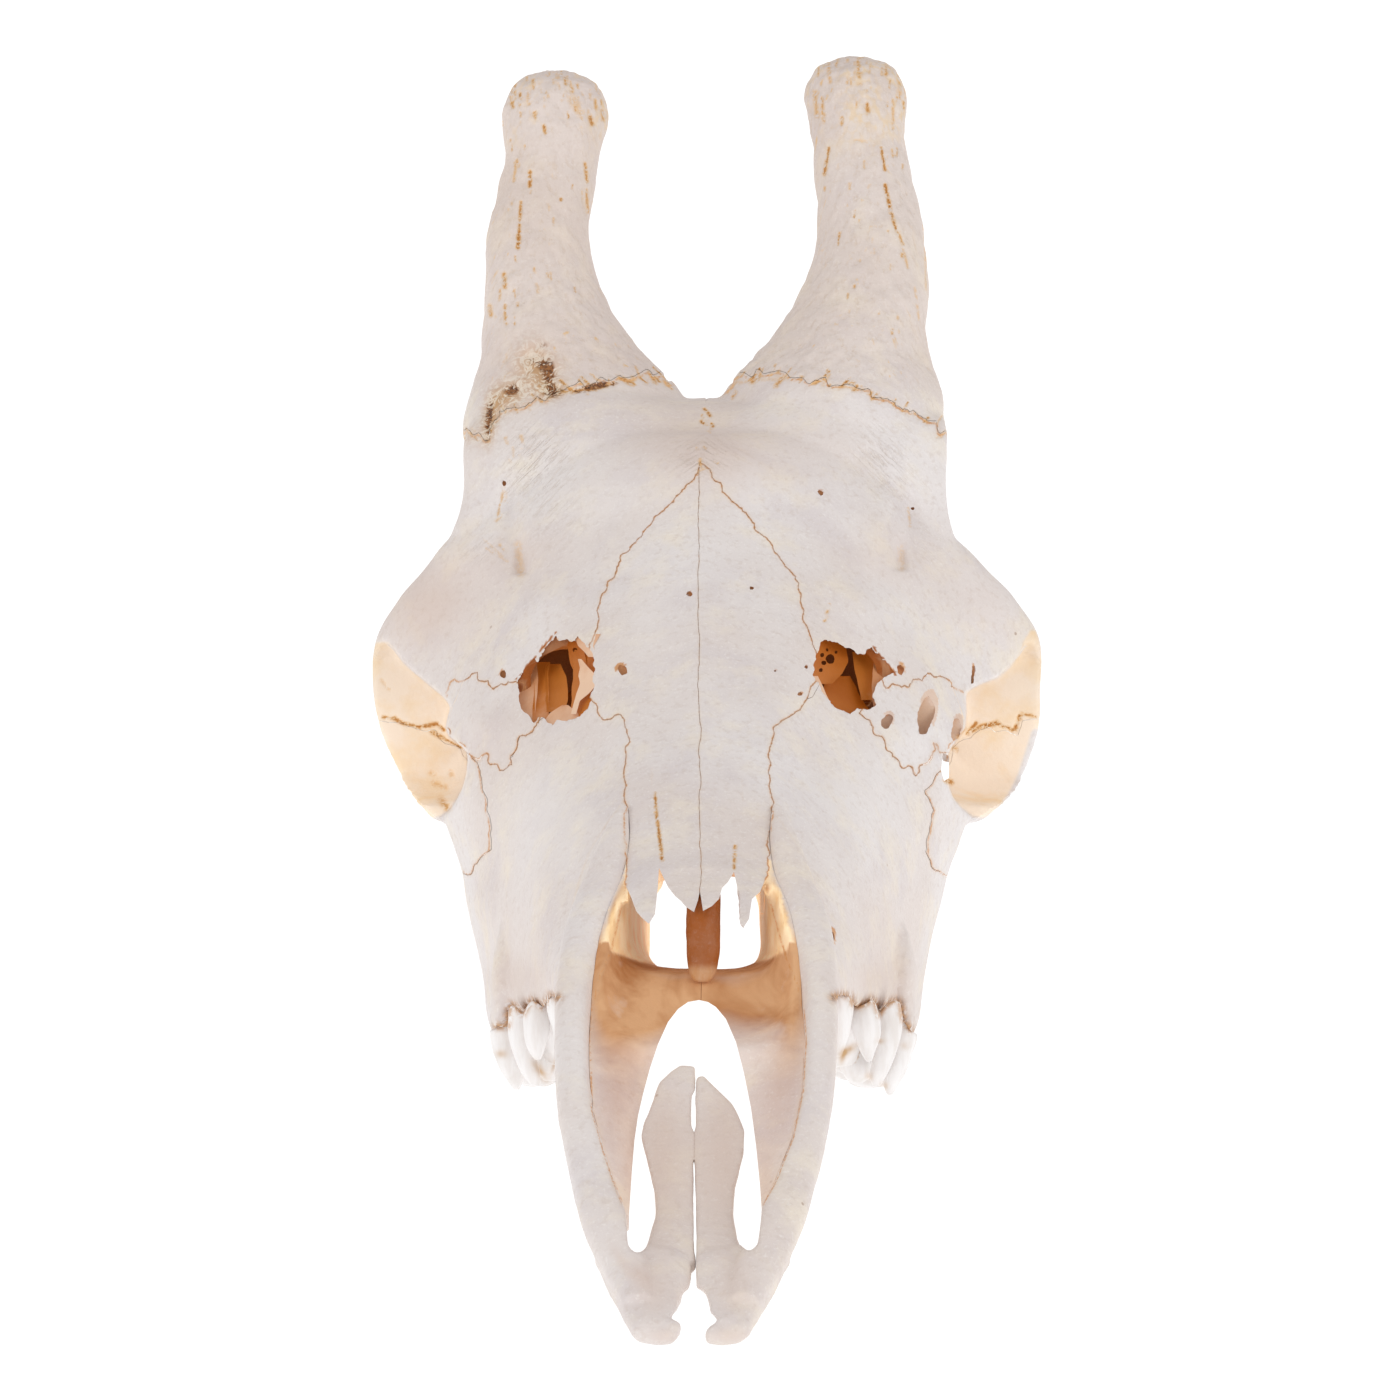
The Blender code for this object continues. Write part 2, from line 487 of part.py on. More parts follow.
def skull_mass():
    """All the skull's bone but the premaxillae as one solid, with its hollows."""
    whole = section_loft("skull", FACE_SECTIONS, around=32)
    forms = [
        section_loft("brow", BROW_SECTIONS, around=24, steps=1),
        section_loft("brain_case", CASE_SECTIONS, around=24, steps=1),
        oval_loft("nuchal_crest", CREST_ROWS, around=20, steps=1),
        oval_loft("basicranium", BASICRANIUM_ROWS, around=10, steps=1),
    ]
    for label, side in SIDES:
        forms += [
            oval_loft("wall", WALL_ROWS, side, around=10, steps=1),
            oval_loft("arch", ARCH_ROWS, side, around=10, steps=1),
            oval_loft("pterygoid", PTERYGOID_ROWS, side, around=8, steps=1),
            ball("condyle", *CONDYLE, side, around=14, levels=9),
            ball("bulla", *BULLA, side, around=10, levels=5),
            upright_loft("jugular_process", JUGULAR_ROWS, side, around=8),
            upright_loft("ossicone", [(z, x, y, rx, ry) for z, y, x, rx, ry in OSSICONE_ROWS], side,
                         around=16, shift=OSSICONE_SHIFT[label]),
        ]
        forms += cheek_teeth(side)
    combine(whole, forms, "UNION")
    hollows = [
        oval_loft("aperture", APERTURE_ROWS, around=20, steps=1, power=5.0),
        oval_loft("passage", PASSAGE_ROWS, around=20, steps=1, power=4.0),
        upright_loft("fissure", FISSURE_ROWS, around=24),
        oval_loft("foramen_magnum", FORAMEN_ROWS, around=14, steps=1),
    ]
    for label, side in SIDES:
        hollows += [
            oval_loft("eye", EYE_ROWS, side, around=16, steps=1, power=2.3),
            ball("temple", *TEMPLE, side, around=14, levels=8),
            ball("gate", *GATE, side, around=12, levels=6),
            seam_block("fenestra", FENESTRA[label], *FENESTRA_REACH),
        ]
    combine(whole, hollows, "DIFFERENCE")
    prongs = []
    for label, side in SIDES:
        prongs += [oval_loft("prong", NASAL_PRONG_ROWS, side, around=8, steps=1, power=3.0),
                   oval_loft("spur", NASAL_SPUR_ROWS, side, around=8, steps=1, power=3.0)]
    return combine(whole, prongs, "UNION")


def floor_block():
    """Everything below the table that the molars and the condyles rest on."""
    slope = (CONDYLE_REST[1] - MOLAR_REST[1]) / (CONDYLE_REST[0] - MOLAR_REST[0])
    top = [(x, y, MOLAR_REST[1] + slope * (y - MOLAR_REST[0])) for x, y in
           ((-150, -60), (150, -60), (150, 680), (-150, 680))]
    return box_between("table", top + [(x, y, -120) for x, y, _ in top])


def above_seam(side, lift):
    """The space above one ossicone's seam plane."""
    point = np.array(OSSICONE_SEAM) * (side, 1, 1)
    normal = np.array(OSSICONE_SEAM_NORMAL) * (side, 1, 1)
    normal /= np.linalg.norm(normal)
    corners = []
    for x, y in ((0.0, 350.0), (side * 140.0, 350.0), (side * 140.0, 560.0), (0.0, 560.0)):
        drop = (normal[0] * (x - point[0]) + normal[1] * (y - point[1]) - lift) / normal[2]
        corners.append((x, y, point[2] - drop))
    return box_between("above_seam", corners + [(x, y, 420.0) for x, y, _ in corners])


def part_off(whole, name, block, grown_block):
    """Parts the bone inside a block off the skull, with the seam's gap round it."""
    bone = copy_of(whole, name)
    combine(bone, [block], "INTERSECT")
    combine(whole, [grown_block], "DIFFERENCE")
    keep_largest(bone)
    return bone


def finish(bone, material):
    """Gives a bone its finish and smooth shading."""
    bone.data.materials.clear()
    bone.data.materials.append(material)
    bone.data.shade_smooth()
    bone.data.set_sharp_from_angle(angle=math.radians(50))


def build():
    """Makes every bone and lays the skull down."""
    clear_scene()
    bone_finish = bone_material("dry_bone", BONE_COLOUR, 0.62)
    horn_finish = bone_material("ossicone_bone", HORN_COLOUR, 0.66)
    inner_finish = bone_material("inner_bone", INNER_COLOUR, 0.7)

    whole = skull_mass()
    combine(whole, [floor_block()], "DIFFERENCE")
    bones = []
    for label, side in SIDES:
        premaxilla, *rest = premaxilla_pieces(side, 0.0)
        premaxilla.name = "premaxilla_" + label
        combine(premaxilla, rest, "UNION")
        combine(whole, premaxilla_pieces(side, GAP), "DIFFERENCE")
        bones.append(premaxilla)
    for label, side in SIDES:
        block, grown = (seam_block("nasal_seam", NASAL_SEAM[label], 1250, 1600, grow) for grow in (0.0, GAP))
        combine(block, [roof_core("core", NASAL_SHEET)], "DIFFERENCE")
        combine(grown, [roof_core("core", NASAL_SHEET + GAP)], "DIFFERENCE")
        bones.append(part_off(whole, "nasal_" + label, block, grown))
    for label, side in SIDES:
        for name, seam, near, far in (("lacrimal_", LACRIMAL_SEAM, 1440, 1553),
                                      ("zygomatic_", ZYGOMATIC_SEAM, 1440, 1650)):
            block, grown = (seam_block(name, seam[label], near, far, grow) for grow in (0.0, GAP))
            bones.append(part_off(whole, name + label, block, grown))
        block, grown = (seam_block("maxilla_seam", MAXILLA_SEAM[label], 1100, 1550, grow) for grow in (0.0, GAP))
        bones.append(part_off(whole, "maxilla_" + label, block, grown))
        bone = part_off(whole, "ossicone_" + label, above_seam(side, GAP), above_seam(side, 0.0))
        finish(bone, horn_finish)
        bones.append(bone)
    keep_largest(whole)
    whole.name = "cranium"
    bones.append(whole)

    vomer = oval_loft("vomer", VOMER_ROWS, around=10, steps=1, power=3.0)
    room = oval_loft("room", PASSAGE_ROWS, around=20, steps=1, power=4.0, grow=-2 * GAP)
    combine(vomer, [room], "INTERSECT")
    keep_largest(vomer)
    bones.append(vomer)

    rest = bpy.data.objects.new("giraffe_skull", None)
    bpy.context.scene.collection.objects.link(rest)
    tilt = math.atan2(CONDYLE_REST[1] - MOLAR_REST[1], CONDYLE_REST[0] - MOLAR_REST[0])
    turn = Matrix.Rotation(-tilt, 4, "X")
    centre = Vector((0.0, CENTRE_Y, 0.0)) * MM
    lowest = Vector((0.0, MOLAR_REST[0], MOLAR_REST[1])) * MM
    rest.rotation_euler.x = -tilt
    rest.location = (0.0, -(turn @ centre).y, -(turn @ lowest).z)
    for bone in bones:
        if not bone.data.materials or bone.data.materials[0] is None:
            finish(bone, inner_finish if bone is vomer else bone_finish)
        bone.parent = rest


build()
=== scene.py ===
"""Looks of the giraffe skull: every bone is cut from one finely meshed skull along its own sutures.

Sizes are in millimetres in the skull's own frame: x to the animal's left, y backwards
from the tip of the premaxillae, z upwards. Sutures, openings and surface marks are
given where the front view shows them, as (right, down) places in a 1400 wide picture.
"""
import contextlib
import math

import bmesh
import bpy
import numpy as np
from mathutils import Matrix, Vector


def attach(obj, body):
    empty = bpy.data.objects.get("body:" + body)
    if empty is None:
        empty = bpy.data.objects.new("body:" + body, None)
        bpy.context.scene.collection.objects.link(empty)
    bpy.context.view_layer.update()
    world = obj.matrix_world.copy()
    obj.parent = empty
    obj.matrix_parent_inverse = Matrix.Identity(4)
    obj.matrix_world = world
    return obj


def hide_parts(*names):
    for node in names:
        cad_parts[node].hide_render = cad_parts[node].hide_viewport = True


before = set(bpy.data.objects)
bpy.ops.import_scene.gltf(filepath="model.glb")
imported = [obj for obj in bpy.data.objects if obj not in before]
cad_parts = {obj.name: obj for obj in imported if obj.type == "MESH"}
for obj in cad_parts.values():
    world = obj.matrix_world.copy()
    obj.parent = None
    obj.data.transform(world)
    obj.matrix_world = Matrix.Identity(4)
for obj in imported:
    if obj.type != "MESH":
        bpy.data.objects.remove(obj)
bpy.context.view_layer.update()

MM = 0.001
# Half of a suture's gap, and the mesh sizes of the skull, the premaxillae, the vomer and the teeth
GAP = 0.14
FINE = 1.35
FRONT_FINE = 0.8
VOMER_FINE = 0.9
TOOTH_FINE = 0.55
SIDES = (("right", -1.0), ("left", 1.0))

# Rest of the skull: lowest point of the last molars and of the condyles (y, z)
MOLAR_REST = (306.0, -11.1)
CONDYLE_REST = (578.0, 13.0)
CENTRE_Y = 300.3
TILT = math.atan2(CONDYLE_REST[1] - MOLAR_REST[1], CONDYLE_REST[0] - MOLAR_REST[0])

# Front view: the eye's place, its tilt and turn, and the size of a picture step at the orbits
EYE_POINT = np.array([18.3, -1196.3, 356.8])
EYE_TILT = math.radians(9.0)
EYE_TURN = math.radians(-0.75)
ORBIT_DISTANCE = 1600.0
STEP = 0.3544
MIDDLE = 700.0
PICTURE_WIDTH = 1400
# How far back the marks seen from the front reach on the face and on the ossicones, which begin at that height
FACE_LIMIT, HORN_LIMIT, HORN_HEIGHT = 480, 560, 215

# Lofts of half outlines across y: y, then (x, z) from the middle of the roof round to the middle of the floor
FACE_SECTIONS = (
    (110, ((0, 44), (16, 44), (28, 45), (35, 44), (37, 40), (36, 36), (31, 33), (17, 34), (0, 36))),
    (130, ((0, 62), (18, 62), (31, 61), (38, 56), (40, 50), (39, 44), (34, 39), (19, 41), (0, 46))),
    (152, ((0, 84), (17, 81), (29, 76), (39, 66), (43, 58), (43, 50), (38, 41), (22, 45), (0, 51))),
    (176, ((0, 93), (20, 89), (31, 82), (42, 70), (47, 59), (48, 49), (45, 41), (27, 41), (0, 48))),
    (210, ((0, 108), (22, 105), (35, 96), (48, 80), (54, 64), (56, 48), (54, 34), (33, 33), (0, 41))),
    (248, ((0, 126), (23, 123), (37, 112), (53, 92), (62, 71), (66, 48), (63, 24), (40, 22), (0, 30))),
    (282, ((0, 145), (27, 139), (45, 124), (62, 104), (73, 78), (74, 47), (69, 13), (46, 14), (0, 23))),
    (308, ((0, 160), (31, 152), (52, 136), (73, 112), (83, 84), (81, 52), (71, 8), (47, 12), (0, 18))),
    (321, ((0, 168), (32, 159), (57, 142), (79, 115), (88, 86), (86, 60), (68, 28), (44, 26), (0, 24))),
    (340, ((0, 180), (34, 171), (62, 150), (84, 121), (94, 92), (89, 67), (62, 48), (34, 42), (0, 50))),
    (364, ((0, 195), (38, 188), (68, 166), (94, 133), (108, 100), (98, 70), (62, 58), (30, 48), (0, 50))),
    (385, ((0, 203), (42, 198), (79, 172), (105.5, 146), (119, 114), (108, 74), (60, 60), (28, 50), (0, 50))),
    (396, ((0, 205), (44, 202), (80, 172), (106, 145.5), (119.5, 114), (108, 75), (58, 64), (28, 52), (0, 52))),
)
BROW_SECTIONS = (
    (366, ((0, 186), (34, 180), (62, 160), (70, 152), (66, 146), (40, 140), (0, 140))),
    (384, ((0, 201), (44, 199), (76, 177), (88, 165), (84, 150), (50, 138), (0, 138))),
    (402, ((0, 207), (46, 212), (83, 197), (86.3, 174), (84, 148), (50, 136), (0, 136))),
    (424, ((0, 208), (46, 217), (82, 206), (85, 186), (82, 158), (52, 138), (0, 136))),
    (446, ((0, 206), (46, 215), (80, 206), (84, 186), (80, 156), (50, 136), (0, 136))),
    (468, ((0, 199), (44, 204), (74, 196), (78, 178), (72, 152), (46, 136), (0, 136))),
    (488, ((0, 188), (34, 186), (54, 176), (58, 162), (54, 146), (40, 136), (0, 136))),
    (500, ((0, 176), (20, 174), (34, 168), (40, 158), (36, 146), (24, 138), (0, 138))),
)
CASE_SECTIONS = (
    (372, ((0, 150), (24, 146), (36, 120), (36, 92), (24, 66), (12, 54), (0, 52))),
    (400, ((0, 168), (36, 160), (50, 128), (46, 92), (30, 64), (14, 50), (0, 48))),
    (440, ((0, 190), (42, 176), (54, 134), (52, 98), (36, 66), (16, 46), (0, 43))),
    (480, ((0, 188), (38, 174), (52, 134), (54, 98), (42, 66), (18, 43), (0, 39))),
    (515, ((0, 170), (32, 158), (47, 126), (56, 92), (50, 62), (22, 41), (0, 36))),
    (540, ((0, 158), (34, 148), (52, 118), (62, 84), (54, 54), (22, 36), (0, 32))),
    (556, ((0, 152), (34, 142), (52, 114), (60, 82), (50, 50), (20, 32), (0, 28))),
    (572, ((0, 118), (22, 112), (38, 94), (46, 72), (38, 46), (18, 28), (0, 25))),
    (580, ((0, 100), (16, 96), (28, 82), (32, 66), (28, 44), (14, 28), (0, 25))),
)
# Lofts of oval sections: y, centre x, centre z, half width, half height, turn in degrees
BAR_ROWS = (
    (10, 14.5, -3.6, 4.2, 2.8, -10), (22, 18.0, 1.6, 6.0, 4.2, -10), (36, 23.0, 8.8, 6.6, 5.0, -12),
    (60, 29.3, 20.6, 6.2, 5.2, -8), (85, 34.9, 34.2, 5.0, 5.6, 0), (110, 36.8, 47.6, 4.9, 6.2, 0),
    (130, 36.7, 58.6, 5.4, 6.4, -8), (154, 33.4, 72.6, 7.2, 5.4, -22), (172, 29.6, 82.6, 6.8, 4.4, -26),
    (188, 26.6, 92.6, 4.6, 3.4, -26), (202, 24.4, 101.0, 1.6, 1.6, -20),
)
FRONT_BODY_ROWS = (
    (-1.2, 7.2, -10.0, 1.8, 1.4, 0), (0.8, 8.6, -9.2, 5.0, 2.4, -2), (6, 10.2, -7.5, 6.9, 3.4, -4),
    (14, 12.0, -4.4, 8.4, 4.0, -4), (20, 12.0, -2.1, 10.9, 4.2, -3), (30, 13.4, 1.7, 12.8, 4.2, -2),
    (33, 14.2, 2.8, 13.2, 3.6, 0), (36, 14.2, 3.9, 10.0, 2.2, 0),
)
PROCESS_ROWS = (
    (30, 6.6, 1.6, 7.6, 3.0, 0), (52, 5.8, 9.5, 6.8, 2.5, 0), (61, 6.0, 14.0, 7.2, 2.3, 0),
    (76, 7.8, 22.0, 9.4, 2.2, 0), (83, 8.0, 25.6, 9.8, 2.1, 0), (92, 7.2, 30.5, 8.8, 2.0, 0),
    (99, 5.8, 34.5, 7.2, 1.9, 0), (106, 4.6, 38.0, 6.2, 1.6, 0), (112.5, 3.8, 41.2, 5.4, 1.2, 0),
)
WALL_ROWS = (
    (44, 22.2, 7.8, 4.4, 1.4, 40), (60, 23.6, 16.4, 10.6, 1.6, 42), (80, 25.8, 26.8, 12.8, 1.8, 38),
    (100, 26.4, 37.6, 13.8, 2.0, 26), (120, 25.0, 46.0, 16.0, 2.6, 12), (140, 26.0, 52.0, 15.0, 4.0, 4),
)
ARCH_ROWS = (
    (364, 93.0, 73.6, 5.6, 7.8, 0), (392, 97.0, 75.2, 5.2, 7.6, 0), (420, 95.0, 78.0, 4.4, 8.2, 0),
    (446, 86.0, 82.0, 5.2, 7.8, 0), (468, 69.0, 85.0, 10.0, 8.4, 0), (486, 50.0, 87.0, 12.0, 10.0, 0),
)
PTERYGOID_ROWS = (
    (300, 20.0, 33.0, 2.4, 12.0, 0), (322, 20.5, 34.0, 2.2, 16.0, 0), (346, 20.0, 37.0, 2.2, 17.0, 0),
    (370, 19.0, 42.0, 2.4, 14.0, 0), (392, 18.0, 48.0, 4.0, 9.0, 0),
)
CREST_ROWS = (
    (526, 0.0, 122.0, 40.0, 34.0, 0), (542, 0.0, 116.0, 56.0, 45.0, 0), (553, 0.0, 114.0, 56.0, 45.0, 0),
    (562, 0.0, 106.0, 42.0, 34.0, 0),
)
BASICRANIUM_ROWS = ((372, 0, 54, 14, 8, 0), (440, 0, 50, 16, 9, 0), (520, 0, 42, 17, 9, 0), (578, 0, 30, 16, 9, 0))
# z, centre x and y, half width and half length
JUGULAR_ROWS = ((68, 48, 554, 10, 12), (46, 47, 560, 8, 8), (30, 44, 564, 5, 5.4), (17, 42, 566, 2.0, 2.4))
# Ellipsoids: middle and half sizes
CONDYLE = ((24.0, 578.0, 35.5), (15.5, 22.0, 24.0))
BULLA = ((34.0, 524.0, 44.0), (11.0, 17.0, 15.0))
VOMER_ROWS = (
    (141.5, 1.4, 60.5, 3.0, 2.6, 0), (144, 1.5, 63.0, 4.2, 5.0, 0), (150, 1.6, 68.0, 4.9, 9.5, 0),
    (158, 1.6, 73.0, 5.2, 16.0, 0), (170, 1.5, 75.0, 5.0, 22.0, 0), (200, 1.2, 78.0, 4.0, 30.0, 0),
    (250, 0.6, 86.0, 3.4, 52.0, 0), (300, 0.0, 92.0, 3.2, 42.0, 0), (330, 0.0, 94.0, 3.2, 24.0, 0),
)
APERTURE_ROWS = (
    (96, 0.0, 94.0, 31.0, 50.0, 0), (118, 0.0, 94.5, 30.5, 48.0, 0), (130, 0.0, 95.0, 30.0, 44.5, 0),
    (142, 0.0, 97.0, 27.6, 40.0, 0), (152, 0.0, 99.0, 24.6, 39.0, 0), (164, 0.0, 100.0, 22.8, 40.0, 0),
)
PASSAGE_ROWS = (
    (146, -0.4, 71.0, 24.0, 11.0, 0), (170, -0.6, 70.9, 21.0, 14.9, 0), (200, -0.8, 70.2, 20.8, 21.0, 0),
    (240, -0.8, 66.3, 20.3, 26.8, 0), (275, -0.8, 56.5, 19.4, 25.5, 0), (305, -0.9, 45.5, 19.0, 20.5, 0),
    (345, -0.9, 31.0, 18.8, 19.5, 0), (400, -0.9, 16.0, 18.8, 22.0, 0),
)
FORAMEN_ROWS = ((562, 0, 60, 13, 12, 0), (604, 0, 62, 17, 17, 0))
EYE_ROWS = (
    (320, 104.0, 91.0, 18.0, 5.0, 0), (327, 104.0, 94.0, 25.0, 15.0, 0), (340, 104.0, 96.0, 31.0, 20.5, 0),
    (356, 104.0, 98.0, 34.0, 25.0, 0), (372, 104.0, 100.0, 34.0, 27.5, 0), (383, 104.0, 101.0, 28.0, 27.0, 0),
    (389, 104.0, 101.0, 19.0, 23.0, 0),
)
TEMPLE = ((80.0, 428.0, 112.0), (24.0, 36.0, 44.0))
GATE = ((69.0, 396.0, 97.0), (18.0, 26.0, 30.0))
# Nasal sheet over the front of the nose: y, height of its middle, thickness
SHEET_ROWS = (
    (129, 74.4, 1.6), (134, 76.4, 2.0), (142, 79.9, 2.6), (150, 83.2, 3.2), (160, 87.2, 3.6), (172, 91.5, 4.2),
)
# Ossicones: z, centre y, then centre x, half width and half length across
OSSICONE_ROWS = (
    (196, 430, 45.0, 41.0, 42.0), (206, 436, 46.0, 40.5, 41.0), (214, 441, 47.0, 37.5, 38.0),
    (223, 448, 50.0, 32.0, 33.5), (236, 456, 55.0, 26.4, 28.5), (251, 465, 59.2, 21.6, 23.5),
    (268, 475, 60.6, 18.9, 20.0), (284, 485, 58.8, 17.3, 18.0), (296, 492, 57.2, 16.5, 17.0),
    (305, 497, 56.4, 18.0, 17.8), (312, 501, 56.0, 18.9, 18.2), (319.5, 504, 56.0, 17.0, 16.6),
    (325, 506, 56.0, 12.0, 12.0), (327.5, 507, 56.0, 5.0, 5.0),
)
# Shift of each ossicone to the left and up
OSSICONE_SHIFT = {"right": (-2.4, -2.4), "left": (-2.0, 2.6)}
# Cheek teeth: y, outer side x, height of the gum and of the worn edge, length and lobes
CHEEK_TEETH = (
    (180, 44.0, 43.0, 30.0, 20.0, 1), (201, 50.5, 38.0, 22.0, 21.0, 1), (222, 57.0, 32.0, 13.0, 22.0, 1),
    (246, 64.0, 24.0, 3.0, 26.0, 2), (273, 69.5, 15.0, -8.0, 28.0, 2), (301, 71.5, 8.0, -11.5, 28.0, 2),
)
TOOTH_WIDTH = 21.0
# Outer crowns of the cheek teeth in the front view: distance, half depth, then (down, left, right) rows
CROWNS = {
    "right": (
        (
            1404, 7,
            (
                (986, 549, 575), (997, 547.5, 578), (1008, 547, 580), (1020, 550, 580), (1030, 553, 580),
                (1047, 556, 577), (1058, 561, 572),
            ),
        ),
        (
            1424, 7,
            (
                (992, 530, 548), (1001, 527, 549.5), (1008, 524.5, 550), (1020, 523.5, 549.5), (1036, 524.5, 548),
                (1046, 527, 545), (1054, 531, 542), (1060, 535.5, 539.5),
            ),
        ),
        (
            1446, 7,
            (
                (998, 511, 532), (1008, 508.3, 534), (1020, 508.3, 534), (1036, 509.5, 534), (1050, 513, 535),
                (1062, 517.5, 537), (1076, 524, 540), (1086, 532, 539),
            ),
        ),
        (
            1480, 9,
            (
                (1010, 491, 518), (1027, 490, 520), (1042, 491.5, 520), (1058, 495.5, 523), (1072, 501.5, 523.5),
                (1082, 508, 522), (1090, 513.5, 518.5),
            ),
        ),
        (1463, 9, ((1012, 520, 562), (1044, 524, 562), (1060, 529, 561), (1074, 538, 560), (1081, 545, 556))),
    ),
    "left": (
        (
            1404, 7,
            (
                (986, 824, 847), (996, 820, 851), (1006, 820, 852.5), (1020, 822, 851), (1036, 826, 847.5),
                (1050, 832, 842.5), (1056, 836, 840),
            ),
        ),
        (
            1424, 7,
            (
                (992, 858, 875), (1001, 854, 877), (1010, 850, 878), (1020, 850, 879.5), (1036, 855, 879.5),
                (1046, 859, 876), (1054, 863, 872.5), (1061, 867.5, 870.5),
            ),
        ),
        (
            1446, 7,
            (
                (994, 884, 897), (1003, 877, 900.5), (1012, 874, 901.3), (1024, 874, 901.3), (1036, 874, 899.8),
                (1050, 874, 896), (1064, 872, 891), (1078, 870, 884.5), (1087, 873.5, 878.5),
            ),
        ),
        (
            1463, 9,
            (
                (1030, 846, 866), (1042, 842, 868), (1056, 839.5, 872), (1068, 841, 874), (1077, 846, 870),
                (1083, 852, 862),
            ),
        ),
        (
            1480, 9,
            (
                (1010, 894, 915), (1024, 893, 916.5), (1040, 892, 915.6), (1054, 890, 911.6), (1066, 886, 908),
                (1080, 884, 901.5), (1090, 886, 894.5), (1095, 888, 891.5),
            ),
        ),
        (1470, 8, ((1010, 856, 892), (1030, 856, 890), (1050, 858, 888), (1068, 861, 885), (1080, 866, 880))),
    ),
}
# Bone outside the roots of the last molars, as the crowns are given
ROOT_WALLS = {
    "right": (
        1476, 10,
        (
            (928, 499, 502), (944, 494, 507), (962, 489.5, 512), (990, 488, 514), (1010, 489.5, 513),
            (1026, 491, 511), (1036, 495, 507),
        ),
    ),
    "left": (
        1476, 10,
        (
            (928, 907, 910), (944, 902, 915), (962, 898, 919.5), (990, 898, 919.5), (1010, 899, 917.5),
            (1026, 900, 916.5), (1036, 903, 913),
        ),
    ),
}
# Edge of the tooth sockets in the front view
GUM_EDGE = {
    "right": (
        (478, 1120), (478, 1034), (490, 1031), (497, 1027), (508, 1027), (509, 1010), (512, 1006), (517, 1009),
        (523, 1015), (528, 1005), (532, 1001), (538, 1004), (543, 1008), (547, 1001), (551, 996), (558, 998),
        (558, 1120),
    ),
    "left": (
        (928, 1120), (928, 1036), (917, 1036), (910, 1030), (903, 1021), (900, 1004), (895, 1001), (889, 1003),
        (883, 1009), (879, 1015), (876, 1005), (872, 1000), (866, 1004), (858, 1007), (853, 1005), (850, 997),
        (843, 995), (834, 997), (834, 1120),
    ),
}
# Thin plates in the openings, as the front view shows them: tone from pale 0 to deep 1, bulge, holes, then rows of
# (down, left, right, depth of the left and of the right edge behind the surface)
LAMELLAE = {
    "right": (
        (
            0.3, 1.5, (),
            ((655, 512, 537, 3, 9), (680, 510, 538, 3, 9), (703, 512, 536, 2.5, 8), (726, 524, 535, 2, 7)),
        ),
        (
            0.52, 3.0, (),
            ((662, 534, 550, 11, 13), (676, 534, 548, 9, 12), (692, 534, 549, 8, 10), (726, 532, 548, 4, 8)),
        ),
        (
            0.56, 3.0, (),
            ((664, 546, 560, 13, 17), (676, 545, 566, 11, 15), (692, 546, 568, 9, 13), (712, 546, 566, 7, 11)),
        ),
        (0.3, 1.0, (), ((705, 562, 568, 5, 6), (713, 550, 578, 3, 6), (728, 540, 580, 2, 4))),
        (
            0.66, 1.0, ((575, 650, 2.4), (579.5, 644, 1.6), (579, 661, 2.2)),
            ((634, 566, 583, 7, 3), (650, 568, 584, 9, 5), (664, 571, 586, 10, 6), (680, 578, 588, 9, 6)),
        ),
        (0.0, 0.5, (), ((634, 574, 600, 1.5, 0.5), (646, 578, 594, 1.5, 0.5), (657, 589, 597, 1.5, 0.5))),
        (
            0.0, 0.5, (),
            (
                (659, 578, 581, 2, 1.5), (668, 580, 589, 2, 0.7), (676, 578, 597, 2.5, 0.5),
                (684, 580, 597, 2.5, 0.5), (693, 577, 589, 2.5, 1), (701, 574, 580, 3, 2), (714, 571, 576, 3, 2),
            ),
        ),
        (0.62, 1.0, (), ((650, 574, 601, 8, 3), (690, 572, 601, 8, 3), (706, 571, 597, 7, 3), (720, 566, 590, 6, 3))),
    ),
    "left": (
        (
            0.62, 4.0,
            ((830, 659, 4.6), (822, 655, 2.2), (824, 663, 2.4), (821, 670, 1.8), (836, 652, 1.6), (827, 650, 1.5)),
            (
                (630, 808, 836, 2, 7), (646, 806, 846, 2, 9), (662, 806, 848, 2, 10), (674, 808, 842, 2, 9),
                (684, 812, 832, 2, 7),
            ),
        ),
        (0.08, 1.0, (), ((676, 808, 818, 1, 3), (688, 808, 824, 1, 4), (701, 812, 829, 1, 4), (712, 824, 832, 1, 2))),
        (
            0.5, 3.0, (),
            ((652, 852, 868, 14, 9), (666, 854, 878, 13, 7), (684, 858, 880, 12, 6), (700, 862, 878, 11, 6)),
        ),
        (
            0.82, 2.0, (),
            ((676, 826, 850, 16, 18), (692, 824, 858, 14, 17), (706, 828, 866, 12, 15), (720, 834, 880, 9, 11)),
        ),
        (
            0.3, 1.0, (),
            (
                (640, 878, 906, 8, 3), (660, 874, 908, 7, 2), (680, 872, 900, 7, 2), (698, 872, 892, 6, 2),
                (716, 876, 888, 5, 2),
            ),
        ),
    ),
}

